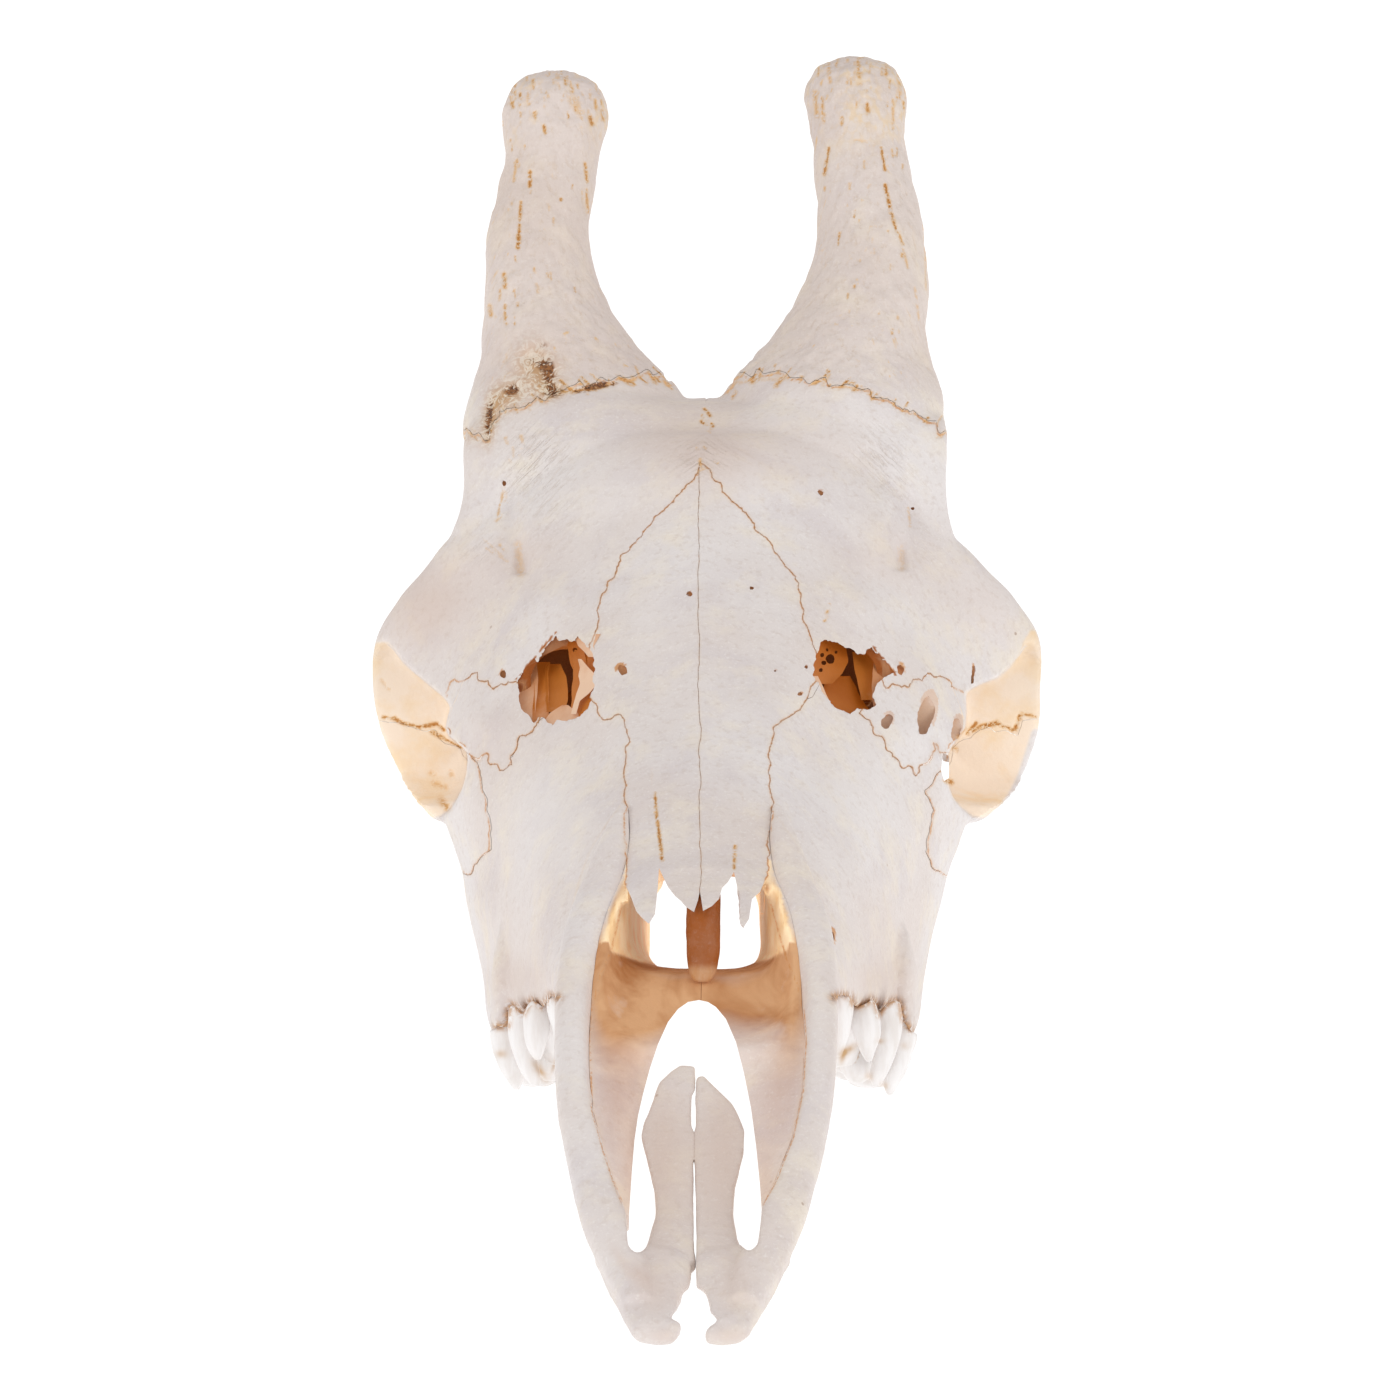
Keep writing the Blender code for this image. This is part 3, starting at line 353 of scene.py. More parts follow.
# Sutures and edges of the bones in the front view
NASAL_EDGE = {
    "right": (
        (700, 466), (697, 473), (682, 492), (659, 512), (643, 535), (623, 553), (613, 576), (602, 596), (597, 630),
        (591, 646), (589, 672), (591, 698), (602, 719), (620, 716), (628, 729), (626, 765), (624, 800), (626, 823),
        (625, 884),
    ),
    "left": (
        (700, 461), (715, 479), (733, 500), (746, 510), (755, 530), (769, 543), (784, 563), (794, 579), (802, 594),
        (803, 617), (811, 637), (816, 660), (815, 683), (805, 706), (784, 718), (773, 729), (769, 757), (771, 800),
        (773, 812), (769, 834), (767, 856), (765, 880),
    ),
}
NASAL_TIPS = {
    "right": (
        (625, 884), (631, 897), (636, 911), (644, 920), (649, 924), (655, 914), (658, 886), (659, 868), (668, 887),
        (675, 896), (681, 901), (686, 907), (694, 912), (698, 900), (699.4, 893),
    ),
    "left": (
        (765, 880), (760, 892), (752, 899), (749, 919), (742, 930), (739, 921), (737, 886), (734, 872), (728, 882),
        (722, 888), (719, 899), (712, 906), (703, 911), (701.4, 900), (700.2, 893),
    ),
}
MIDLINE = (
    (699.8, 893), (700.4, 860), (699.4, 800), (700.3, 730), (698.6, 690), (699.6, 640), (697.8, 600), (699, 560),
    (698, 520), (698.6, 490), (699.5, 462),
)
LACRIMAL_EDGE = {
    "right": (
        (447, 696), (452, 683), (477, 675), (493, 686), (516, 681), (524, 690), (540, 716), (541, 724), (518, 744),
        (511, 765), (500, 769), (483, 755), (470, 755), (462, 752), (446, 752),
    ),
    "left": (
        (968, 693), (955, 686), (937, 674), (917, 681), (907, 688), (878, 681), (872, 700), (863, 712), (884, 739),
        (899, 765), (919, 772), (927, 765), (933, 744), (945, 752), (972, 752),
    ),
}
ZYGOMATIC_EDGE = {
    "right": (
        (360, 716), (383, 718), (400, 720), (414, 725), (437, 727), (447, 737), (466, 747), (476, 762), (485, 800),
        (490, 850), (470, 872), (400, 872), (340, 800),
    ),
    "left": (
        (1060, 716), (1037, 716), (1017, 718), (1013, 733), (984, 726), (966, 734), (950, 745), (942, 770),
        (926, 792), (933, 812), (931, 830), (928, 862), (948, 880), (1010, 872), (1066, 800),
    ),
}
MAXILLA_EDGE = {
    "right": (
        (596, 704), (576, 698), (560, 692), (546, 704), (545, 711), (513, 735), (505, 757), (498, 760), (484, 746),
        (464, 742), (462, 752), (476, 800), (481, 846), (462, 866), (300, 880), (300, 1460), (699.4, 1460),
        (699.4, 914), (640, 914), (634, 884), (636, 724), (618, 706),
    ),
    "left": (
        (806, 697), (816, 678), (832, 690), (850, 702), (866, 703), (892, 733), (904, 756), (917, 763), (922, 758),
        (928, 738), (974, 744), (974, 758), (950, 770), (935, 792), (941, 812), (939, 832), (937, 856), (956, 872),
        (1100, 880), (1100, 1460), (700, 1460), (700, 914), (758, 914), (760, 884), (763, 726), (780, 708),
    ),
}
OSSICONE_EDGE = {
    "right": (
        (440, 446), (467, 431), (476, 437), (485, 440), (494, 424), (500, 415), (520, 408), (540, 400), (560, 391),
        (590, 386), (620, 381), (650, 377), (675, 383), (699, 396), (699, -80), (440, -80),
    ),
    "left": (
        (980, 452), (956, 440), (940, 432), (925, 420), (910, 412), (880, 400), (850, 388), (825, 383), (800, 380),
        (780, 374), (760, 372), (742, 381), (720, 396), (706, 404), (706, -80), (980, -80),
    ),
}
FENESTRA = {
    "right": (
        (550, 642), (556, 636), (559, 640), (568, 640), (576, 642), (577.5, 636), (580, 640), (585, 643), (589, 650),
        (593, 656), (594, 665), (593, 688), (591, 693), (591, 700), (587, 708), (580, 716), (573, 719), (565, 721),
        (558, 720), (552, 726), (548, 722), (544, 716), (539, 718), (534, 723), (527, 714), (522, 708), (518.5, 697),
        (518, 682), (522, 673), (527, 667), (532, 658), (537, 662), (542, 656), (544, 648),
    ),
    "left": (
        (814, 663), (817, 652), (823, 639), (828, 642), (835, 642), (842, 645), (850, 649), (858, 655), (865, 653),
        (872, 647), (878, 655), (882, 660), (887, 662), (896, 671), (883, 678), (876, 685), (873, 697), (877, 704),
        (870, 708), (863, 710), (857, 708), (850, 715), (845, 710), (837, 708), (830, 703), (823, 692), (818, 682),
        (813, 675),
    ),
}
# Small openings: middle, half width, half height, turn in degrees, depth in millimetres
SMALL_HOLES = (
    (926, 715, 8, 20, 14, 7), (887, 721, 5, 8, 20, 5), (956, 729, 5, 12, 12, 6), (900, 669, 4, 5, 0, 4),
    (831, 939, 3.4, 9, 8, 9), (503, 675, 3, 4, 0, 4), (622, 670, 5, 6, -35, 3), (973, 675, 1.3, 9, 2, 3),
    (504, 484, 2.2, 2.6, 0, 3), (690, 594, 2.6, 2.0, 20, 2), (752, 588, 2.2, 1.6, 0, 2), (912, 508, 2.6, 2.0, 0, 2),
    (820, 493, 3.4, 2.2, 30, 2), (775, 671, 1.6, 1.6, 0, 2), (806, 667, 2, 2, 0, 2), (800, 694, 2.6, 1.6, -20, 2),
)
# Gap beside the left socket, then the gap in the palate between the premaxillae
SLIT = ((943, 753), (949, 756), (949, 778), (944, 781), (941, 770))
PALATE_GAP = (
    (699, 1000), (688, 1002), (678, 1009), (668, 1022), (658, 1044), (650, 1068), (643, 1094), (638, 1116),
    (634.5, 1140), (632, 1170), (630, 1200), (629, 1215), (629, 1270), (764, 1270), (762, 1215), (760, 1185),
    (756, 1145), (751, 1108), (744, 1073), (736, 1042), (726, 1019), (716, 1007), (708, 1002),
)
# Where the nasal bars of the premaxillae meet the maxillae: outer and inner line
BAR_EDGE = {
    "right": (
        ((626, 790), (621, 805), (607, 823), (592, 847), (585, 863), (579, 882), (572, 905)),
        (
            (626, 884), (620, 914), (611, 951), (600, 975), (592, 1008), (590, 1040), (592, 1111), (603, 1150),
            (613, 1180), (622, 1203),
        ),
    ),
    "left": (
        ((768, 790), (775, 814), (793, 838), (802, 855), (808, 867), (818, 890)),
        (
            (769, 897), (778, 930), (787, 960), (798, 986), (804, 1014), (806, 1040), (803, 1091), (793, 1138),
            (775, 1183), (763, 1205),
        ),
    ),
}
PREMAXILLA_EDGE = {
    "right": (
        (560, 780), (634, 780), (631, 850), (626, 884), (620, 914), (611, 951), (600, 975), (592, 1008), (590, 1040),
        (592, 1111), (603, 1150), (615, 1186), (622, 1203), (625, 1213), (627, 1244), (631, 1251), (637, 1254),
        (643, 1252), (648, 1246), (656, 1218), (655, 1193), (646, 1154), (642, 1136), (645, 1122), (650, 1111),
        (660, 1083), (673, 1071), (681, 1066), (695, 1067), (694.5, 1090), (690.8, 1096), (691.2, 1128),
        (694.2, 1134), (694.2, 1156), (692.2, 1164), (693, 1252), (695, 1260), (695.6, 1288), (690, 1289),
        (684, 1291), (681, 1296), (680, 1306), (674, 1312), (668, 1317), (671, 1321), (678, 1324), (681, 1331),
        (680, 1339), (671, 1346), (640, 1352), (500, 1352), (500, 900),
    ),
    "left": (
        (840, 780), (768, 790), (767, 850), (769, 897), (778, 930), (787, 960), (798, 986), (804, 1014), (806, 1040),
        (803, 1091), (793, 1138), (775, 1183), (763, 1205), (762, 1220), (758, 1246), (748, 1253), (737, 1242),
        (732, 1216), (734, 1189), (743, 1154), (744, 1132), (738, 1116), (732, 1105), (713, 1087), (703, 1076),
        (697, 1078), (696.4, 1092), (696, 1098), (696, 1128), (694.4, 1134), (694.4, 1156), (696, 1168),
        (697.6, 1252), (697, 1260), (697.2, 1288), (704, 1291), (708, 1297), (710, 1306), (711, 1313), (720, 1319),
        (717, 1324), (710, 1328), (707, 1334), (708, 1342), (718, 1347), (750, 1352), (900, 1352), (900, 900),
    ),
}
# Fit of the outline in the front view: place and shift to the right
OUTLINE_FIT = (
    (519, 80, 1), (485, 300, 3), (484, 320, 3), (482, 340, 2), (475, 380, 2), (469, 400, 2), (463, 440, -2),
    (465, 460, 2), (465, 480, 2), (462, 510, 2), (444, 540, -6), (426, 570, 5), (397, 600, -2), (378, 630, -4),
    (374, 660, 0), (374, 690, 2), (380, 720, 4), (393, 750, 10), (406, 780, 7), (418, 810, -2), (454, 840, 7),
    (465, 870, 9), (466, 900, 0), (473, 930, 1), (482, 960, 6), (487, 990, 6), (489, 1020, 0), (492, 1050, -2),
    (590, 80, -3), (606, 100, 3), (610, 120, 6), (606, 140, 7), (599, 160, 5), (597, 180, 5), (594, 200, 3),
    (590, 220, 0), (589, 240, -3), (592, 260, -2), (598, 280, -2), (607, 300, -3), (617, 320, -5), (632, 340, -4),
    (650, 360, -2), (671, 380, 4), (804, 100, 1), (812, 140, -2), (814, 160, -2), (813, 180, -4), (816, 200, -3),
    (818, 220, 2), (816, 240, 2), (811, 260, 2), (805, 280, 5), (797, 300, 8), (785, 320, 10), (771, 340, 12),
    (754, 360, 11), (734, 380, 8), (913, 180, 3), (918, 200, 2), (925, 240, 3), (929, 280, 3), (927, 340, -2),
    (944, 400, 2), (947, 420, 2), (945, 440, -6), (945, 460, -7), (945, 480, -7), (944, 510, -10), (957, 540, -7),
    (986, 570, -7), (1016, 600, 1), (1038, 630, 7), (1041, 660, 0), (1038, 690, -5), (1039, 720, 0), (1031, 750, -1),
    (1020, 780, 4), (1003, 810, 10), (958, 840, -5), (946, 870, -7), (941, 900, -2), (932, 930, -5), (925, 960, -6),
    (920, 990, -7), (918, 1020, -2), (913, 1050, 1), (754, 956, 9), (753, 905, 4), (752, 930, 2),
)
# Fit of the brow's edge between the ossicones: place and shift up
BROW_FIT = ((690, 400, 2), (705, 404, 4), (720, 400, 2))
# Relief seen from the front: middle, half width, half height, turn in degrees, rise in millimetres
RELIEF = (
    (705, 462, 62, 34, 0, 3.0), (705, 424, 80, 12, 0, -1.2), (640, 520, 40, 30, 30, -0.8),
    (765, 520, 40, 30, -30, -0.8), (519, 556, 8, 20, 5, -1.6), (509, 515, 7, 40, 8, -1.9),
    (536, 530, 9, 46, -16, 0.8), (490, 545, 8, 26, 20, 0.7), (902, 553, 8, 18, -4, -1.4), (912, 512, 7, 38, -8, -1.7),
    (880, 520, 9, 46, 16, 0.8), (700, 430, 90, 7, 0, -0.7), (906, 190, 4, 66, -8, -1.1), (917, 196, 4.5, 70, -8, 0.9),
    (522, 230, 5, 70, 4, -0.7), (600, 640, 6, 60, 0, 0.3), (500, 470, 16, 34, 20, 1.0), (908, 480, 16, 34, -18, 0.8),
    (545, 600, 40, 18, -20, 0.9), (870, 602, 40, 18, 20, 0.9), (440, 600, 26, 34, 35, 1.0),
    (980, 610, 26, 34, -35, 1.0), (600, 760, 34, 60, 12, -1.8), (800, 760, 34, 60, -12, -1.8),
    (530, 840, 40, 70, 10, 1.2), (870, 840, 40, 70, -10, 1.2), (560, 930, 26, 60, 6, -1.4),
    (848, 930, 22, 60, -6, -1.4), (520, 985, 24, 16, 0, 1.0), (880, 985, 24, 16, 0, 1.0), (660, 700, 20, 70, 0, -1.0),
    (738, 700, 20, 70, 0, -1.0), (487, 725, 22, 20, 0, 1.2), (915, 728, 22, 22, 0, 1.0), (700, 640, 12, 120, 0, 0.8),
)

# Worn places of the teeth: middle, half width, half height, turn in degrees and strength, as in all tints
WORN = (
    (540, 1071, 4.5, 11, -35, 0.9), (556, 1060, 1.6, 13, 20, 1.0), (848, 1050, 9, 4, -30, 0.9),
    (843, 1057, 3, 7, 20, 0.7), (869, 1077, 4, 5, 0, 0.5), (884, 1086, 4, 4, 0, 0.6), (881, 1041, 4, 2.5, 0, 0.7),
    (501, 1054, 6, 4, 0, 0.6), (905, 1046, 5, 4, 0, 0.4),
)
# Painted warm shade round the opening of the nose
NOSE_SHADE_SPOTS = (
    (606, 958, 18, 26, 0, 1.0), (796, 958, 18, 22, 0, 1.0), (640, 985, 56, 40, 10, 1.0), (762, 982, 52, 40, -10, 0.9),
    (700, 994, 24, 18, 0, 1.0), (606, 1015, 22, 50, 0, 0.6), (793, 1015, 18, 56, 0, 0.6), (618, 1100, 30, 80, 0, 0.4),
    (778, 1090, 26, 74, 0, 0.3), (634, 1190, 16, 50, 0, 0.25), (765, 1190, 12, 40, 0, 0.25),
    (654, 1014, 36, 26, 0, 0.65), (748, 1012, 36, 22, 0, 0.5), (640, 1050, 26, 40, 0, 0.3),
)
# Crest of the nose's floor in the front view: right and down
FLOOR_CREST = ((600, 946), (612, 953), (640, 963), (660, 966), (745, 966), (770, 960), (783, 953), (800, 944))
# Painted light: places lightened against the shade that the skull's shape gives them, then warm ones
PAINTED_LIGHT_SPOTS = (
    (540, 810, 44, 60, 0, 0.6), (860, 800, 40, 50, 0, 0.3), (580, 1050, 14, 80, 0, 0.3), (818, 1050, 14, 80, 0, 0.45),
    (610, 500, 50, 40, 0, 0.4), (650, 640, 40, 60, 0, 0.25), (600, 1240, 30, 40, 20, 0.2),
)
WARM = (
    (705, 450, 60, 36, 0, 0.7), (800, 455, 60, 40, 0, 0.25), (515, 920, 40, 60, 0, 0.2), (885, 920, 40, 60, 0, 0.2),
    (425, 605, 60, 50, -40, 0.8), (985, 600, 50, 40, 40, 0.35), (660, 1150, 30, 90, 0, 0.8),
    (725, 1150, 30, 90, 0, 0.75), (520, 560, 50, 30, 0, 0.3), (890, 560, 50, 30, 0, 0.3), (480, 740, 40, 50, 0, 0.3),
    (655, 1290, 20, 30, 0, 0.4), (735, 1290, 20, 30, 0, 0.4), (640, 1275, 9, 16, -30, 0.5),
    (664, 1336, 18, 8, 0, 0.5), (730, 1336, 22, 8, 0, 0.5), (622, 1262, 5, 20, -30, 0.4), (525, 980, 40, 20, 0, 0.4),
    (872, 980, 40, 20, 0, 0.4),
)

# Ochre and brown streaks in the front view: from, to, half width and strength
STREAKS = (
    (521, 202, 519, 232, 1.6, 0.8), (519, 232, 518, 247, 2.2, 1.0), (530, 172, 530, 186, 2.2, 0.9),
    (516, 162, 514, 181, 1.8, 0.5), (517, 160, 519, 166, 1.6, 0.6), (504, 274, 505, 287, 2.4, 0.7),
    (490, 306, 491, 315, 2.6, 0.6), (505, 305, 506, 324, 2.2, 0.6), (585, 164, 587, 181, 2.0, 0.7),
    (586, 190, 588, 212, 2.0, 0.6), (561, 199, 561, 200, 1.4, 1.0), (544, 126, 545, 133, 1.8, 0.8),
    (512, 103, 513, 107, 2.0, 0.7), (520, 94, 521, 98, 2.0, 0.8), (533, 80, 534, 88, 2.0, 0.6),
    (528, 97, 529, 104, 1.8, 0.6), (565, 78, 566, 84, 2.0, 0.7), (572, 88, 572, 92, 1.8, 0.6),
    (573, 100, 580, 112, 5.5, 0.4), (588, 112, 592, 122, 3.0, 0.3), (534, 113, 535, 118, 1.8, 0.6),
    (537, 284, 538, 292, 2.0, 0.35), (595, 100, 596, 108, 2.0, 0.6), (602, 110, 603, 120, 2.0, 0.6),
    (590, 117, 592, 124, 2.4, 0.8), (500, 290, 500, 300, 1.6, 0.5), (829, 148, 827, 160, 1.6, 0.8),
    (827, 160, 824, 174, 2.0, 0.8), (881, 148, 885, 170, 1.5, 0.9), (885, 185, 892, 216, 1.8, 1.0),
    (892, 216, 897, 231, 1.8, 0.9), (898, 231, 903, 245, 1.7, 0.6), (903, 249, 908, 268, 1.5, 0.5),
    (924, 226, 926, 254, 1.5, 0.6), (925, 255, 926, 290, 1.3, 0.35), (915, 288, 919, 320, 1.4, 0.4),
    (867, 104, 868, 113, 2.0, 0.8), (842, 118, 842, 123, 1.8, 0.7), (855, 140, 866, 142, 1.8, 0.35),
    (815, 92, 817, 116, 3.0, 0.5), (822, 98, 823, 118, 2.0, 0.6), (828, 60, 830, 82, 2.4, 0.5),
    (858, 60, 860, 84, 2.4, 0.6), (885, 66, 886, 74, 2.2, 0.7), (893, 100, 893, 128, 1.8, 0.5),
    (899, 82, 900, 94, 2.0, 0.5), (892, 150, 893, 156, 1.6, 0.5), (704, 409, 706, 410, 1.6, 0.9),
    (708, 413, 710, 415.6, 1.7, 1.0), (702, 415, 703, 418, 1.3, 0.6), (706, 420, 708, 421, 1.2, 0.6),
    (701, 421, 703.4, 423.6, 1.5, 1.0), (706, 424.6, 708, 425, 1.2, 0.5), (711.6, 424, 713, 426, 1.5, 1.0),
    (713, 426, 711.8, 428.4, 1.4, 0.9), (708, 431, 711, 433, 1.3, 0.3), (700.5, 459, 699.8, 464, 1.5, 0.5),
    (699.8, 464, 703, 469, 1.4, 0.5), (703, 469, 698, 472, 1.3, 0.35), (696, 448, 698, 449, 1.2, 0.5),
    (704, 447, 706, 448.6, 1.2, 0.5), (715, 462, 718, 463, 1.3, 0.5), (505, 436, 507, 444, 2.0, 0.4),
    (513, 447, 514, 457, 1.8, 0.25), (521, 436, 523, 443, 2.2, 0.4), (522, 449, 519, 455, 1.8, 0.2),
    (509, 459, 511, 462, 1.6, 0.2), (505, 488, 506, 503, 2.6, 0.22), (501, 516, 496, 521, 1.8, 0.4),
    (500, 545, 504, 549, 1.8, 0.4), (518, 545, 521, 573, 5.0, 0.3), (901, 548, 902, 568, 4.4, 0.24),
    (503, 492, 498, 515, 1.5, 0.5), (484, 540, 503, 556, 1.2, 0.3), (486, 548, 508, 562, 1.2, 0.3),
    (908, 508, 910, 526, 1.5, 0.4), (655, 793, 656, 812, 1.5, 0.9), (656, 812, 659, 832, 1.6, 0.9),
    (659, 832, 662, 860, 1.7, 1.0), (735, 846, 734, 868, 1.6, 0.8), (652, 768, 652, 784, 3.0, 0.1),
    (742, 780, 742, 812, 2.6, 0.1), (383, 717, 394, 718, 1.8, 0.8), (394, 718, 402, 723, 2.2, 0.9),
    (402, 723, 420, 727, 1.8, 0.9), (420, 727, 437, 724, 2.2, 1.0), (437, 724, 444, 730, 1.8, 0.9),
    (432, 732, 443, 738, 2.2, 0.9), (443, 738, 462, 748, 1.2, 0.8), (381, 680, 389, 689, 2.2, 0.35),
    (431, 773, 434, 774, 3.0, 0.4), (434, 783, 445, 787, 3.6, 0.45), (451, 772, 452, 776, 3.2, 0.4),
    (441, 800, 448, 808, 4.4, 0.6), (1036, 716, 1020, 714, 1.6, 0.8), (1020, 714, 1014, 731, 1.8, 1.0),
    (1014, 731, 996, 723, 1.6, 1.0), (996, 723, 980, 727, 2.6, 1.0), (980, 727, 967, 734, 1.4, 0.9),
    (976, 723, 968, 733, 2.2, 0.9), (966, 728, 958, 738, 1.2, 0.5), (953, 748, 957, 750, 3.0, 0.5),
    (946, 780, 951, 782, 3.2, 0.8), (556, 391, 572, 390, 2.6, 0.8), (573, 392, 590, 389, 1.7, 1.0),
    (590, 389, 613, 384, 2.2, 1.0), (620, 378, 633, 384, 2.6, 0.8), (640, 377, 646, 382, 2.2, 0.7),
    (652, 377, 656, 383, 2.0, 0.7), (664, 381, 668, 386, 1.8, 0.6), (736, 392, 732, 398, 1.8, 0.6),
    (760, 376, 752, 382, 2.4, 0.7), (782, 378, 776, 386, 2.4, 0.7), (735, 383, 790, 378, 2.0, 0.35),
    (830, 604, 824, 622, 1.2, 0.6),
)
# Broken ochre crust low on the right ossicone, then its dark places
CRUST = (
    (537, 368, 20, 24, -30, 0.9), (508, 396, 18, 15, -35, 0.9), (490, 420, 8, 24, 8, 1.0), (550, 390, 14, 9, 0, 0.9),
    (470, 436, 8, 12, 0, 0.35),
)
CRUST_DARK = (
    (548, 372, 7, 16, -10, 0.9), (489, 418, 3.4, 22, 6, 1.0), (512, 390, 9, 6, -20, 0.8), (536, 362, 12, 5, 20, 0.6),
    (552, 392, 9, 5, 0, 0.9), (590, 388, 20, 3.4, -12, 0.85), (541, 345, 8, 4, 0, 0.4), (606, 384, 12, 2.4, 0, 0.6),
)
# Grooves above the eye sockets that end in a step: lower end, half width and length
FUNNELS = ((521, 576, 7.0, 46), (901, 572, 6.5, 40))
# Parts of the front view where the bones are divided more finely
FINER_BOXES = {
    "ossicone": ((400, 0, 1000, 480),), "nasal": ((580, 440, 830, 960),), "lacrimal": ((400, 640, 1000, 800),),
    "cranium": (
        (640, 398, 780, 482), (462, 400, 620, 600), (840, 400, 946, 590), (376, 630, 470, 760), (940, 616, 1042, 760),
    ),
    "zygomatic": ((376, 700, 480, 830), (930, 700, 1042, 830)),
    "maxilla": ((485, 970, 562, 1042), (830, 970, 925, 1042)),
}
# Fine hairs of bone
HAIRS = (
    (536, 462, 34, 44, 20, 1.0), (478, 548, 20, 16, 0, 0.7), (885, 462, 30, 46, -18, 0.8), (704, 455, 34, 18, 0, 1.0),
    (560, 520, 30, 40, 0, 0.35), (930, 560, 24, 20, 0, 0.4),
)
# Outline of each eye socket in the front view, past the outer edge of the skull, and bone that shows beside it
SOCKET = {
    "right": (
        (388, 642), (395, 650), (404, 663), (415, 673), (425, 681), (435, 689), (443, 696), (450, 704), (451.6, 708),
        (448, 718), (446, 728), (449, 736), (459, 744), (467, 750), (469, 758), (467, 774), (463, 788), (457, 799),
        (450, 809), (441, 816), (431, 819), (416, 822), (395, 812), (350, 740), (350, 642),
    ),
    "left": (
        (1030, 630), (1023, 641), (1020, 653), (1010, 667), (997, 678), (980, 684), (965, 692), (966, 710),
        (965, 728), (957, 740), (947, 753), (947, 783), (952, 797), (960, 807), (973, 817), (987, 819), (1000, 817),
        (1022, 812), (1070, 740), (1070, 630),
    ),
}
# Outer rim of the left socket, where its cream ends
OUTER_RIM = ((980, 826), (999, 814), (1013, 796), (1023, 775), (1031, 750), (1036, 734))
# Roof of each socket, which the hollow for the eye leaves in place
LID = {
    "right": ((380, 628), (385, 636), *SOCKET["right"][:12], (456, 741), (466, 741), (466, 628)),
    "left": ((1036, 616), *SOCKET["left"][:10], (942, 742), (936, 742), (936, 616)),
}

# Front edge of the two nasals, trimmed straight
NASAL_FRONT = ((628, 890), (765, 886), (765, 946), (628, 946))
# Lines above the gum that close its outline over the teeth
ABOVE_TEETH = {"right": ((560, 880), (470, 880), (470, 1034)), "left": ((832, 880), (932, 880), (932, 1035))}
# Places of an ossicone's edge that are its suture; the others lead round behind it
SUTURE_PLACES = 13
# How each suture wanders: places by side, swing, wave length, seeds of the right and the left, and whether it closes
SUTURES = {
    "nasal": (NASAL_EDGE, 2.8, 7.5, (2, 1), False),
    "middle": ({"right": MIDLINE, "left": MIDLINE}, 1.6, 16.0, (7, 7), False),
    "ossicone": ({label: edge[:SUTURE_PLACES] for label, edge in OSSICONE_EDGE.items()}, 5.5, 7.5, (13, 13), False),
    "lacrimal": (LACRIMAL_EDGE, 4.4, 7.5, (11, 11), True),
    "zygomatic": (ZYGOMATIC_EDGE, 2.6, 9.0, (11, 11), True),
}
# How much faster the brown of each suture fades than with its plain distance, up to where a suture reaches
SEAM_FADING = {"nasal": 1.0, "middle": 1.5, "ossicone": 0.9, "lacrimal": 1.0, "zygomatic": 1.0}
BAR_FADING = (2.0, 0.95)
SEAM_REACH = 12.0
# Nearest and farthest distance from the eye of the blocks that cut the skull
REACH = {
    "lid": (1440, 1610), "socket": (1440, 1580), "nasal": (1250, 1600), "nasal_front": (1335, 1392),
    "lacrimal": (1440, 1553), "zygomatic": (1440, 1650), "maxilla": (1100, 1550), "ossicone": (1400, 1800),
    "premaxilla": (1100, 1500), "above_teeth": (1300, 1600), "gum": (1360, 1545), "palate_gap": (1150, 1395),
    "slit": (1450, 1660), "plate_hole": (1440, 1600),
}
MAXILLA_SLANT, OSSICONE_SLANT = (24, 0, 1375), (0, -30, 1600)
# Openings above the face: how far they reach before and behind the surface, and the hollow behind them
OPENING_LEAD, OPENING_DEPTH, HOLE_LEAD = 45, 17, 12
SINUS_DEPTH, SINUS_SHIFT, SINUS_SIZE = 25, {"right": 8, "left": -10}, (13.5, 16.0, 12.5)
# Middle and half sizes of the left eye socket's inside
ORBIT_MIDDLE, ORBIT_SIZE = (104, 356, 99), (37, 38, 31)
# Rows and columns of the thin plates and of the nasals' front sheet
PLATE_GRID, SHEET_GRID = (26, 22), (24, 56)


def clear_noise(places, seed):
    """A number from 0 to 1 for each whole place: the fraction left by a large sine."""
    value = np.sin(places @ np.array([12.9898, 78.233, 37.719]) + seed * 4.137) * 43758.5453
    return value - np.floor(value)


def noise(points, size, seed=0):
    """Smooth value noise from -1 to 1: the eight corner values of each cell of that size, blended by 3t^2 - 2t^3."""
    points = points / size
    cell = np.floor(points)
    t = points - cell
    t = t * t * (3 - 2 * t)
    total = 0.0
    for corner in np.ndindex(2, 2, 2):
        corner = np.array(corner)
        weight = np.prod(np.where(corner, t, 1 - t), axis=1)
        total = total + weight * clear_noise(cell + corner, seed)
    return total * 2 - 1


def read_between(knots, rows, places):
    """Rows of a table read between its knots on cubic Hermite curves with central slopes."""
    knots, rows = np.asarray(knots, float), np.asarray(rows, float)
    slopes = np.gradient(rows, knots, axis=0)
    spans = np.clip(np.searchsorted(knots, places, side="right") - 1, 0, len(knots) - 2)
    width = knots[spans + 1] - knots[spans]
    t = (places - knots[spans]) / width
    shape = (-1,) + (1,) * (rows.ndim - 1)
    t, width = t.reshape(shape), width.reshape(shape)
    return (rows[spans] * (2 * t**3 - 3 * t**2 + 1) + slopes[spans] * width * (t**3 - 2 * t**2 + t)
            + rows[spans + 1] * (3 * t**2 - 2 * t**3) + slopes[spans + 1] * width * (t**3 - t**2))


def places_between(knots, steps):
    """The knots with each span between them divided into the same number of steps."""
    knots = np.asarray(knots, float)
    inner = [np.linspace(a, b, steps, endpoint=False) for a, b in zip(knots, knots[1:])]
    return np.append(np.concatenate(inner), knots[-1])


def add_object(name, data):
    """A new object with that data, in the scene."""
    thing = bpy.data.objects.new(name, data)
    bpy.context.scene.collection.objects.link(thing)
    return thing


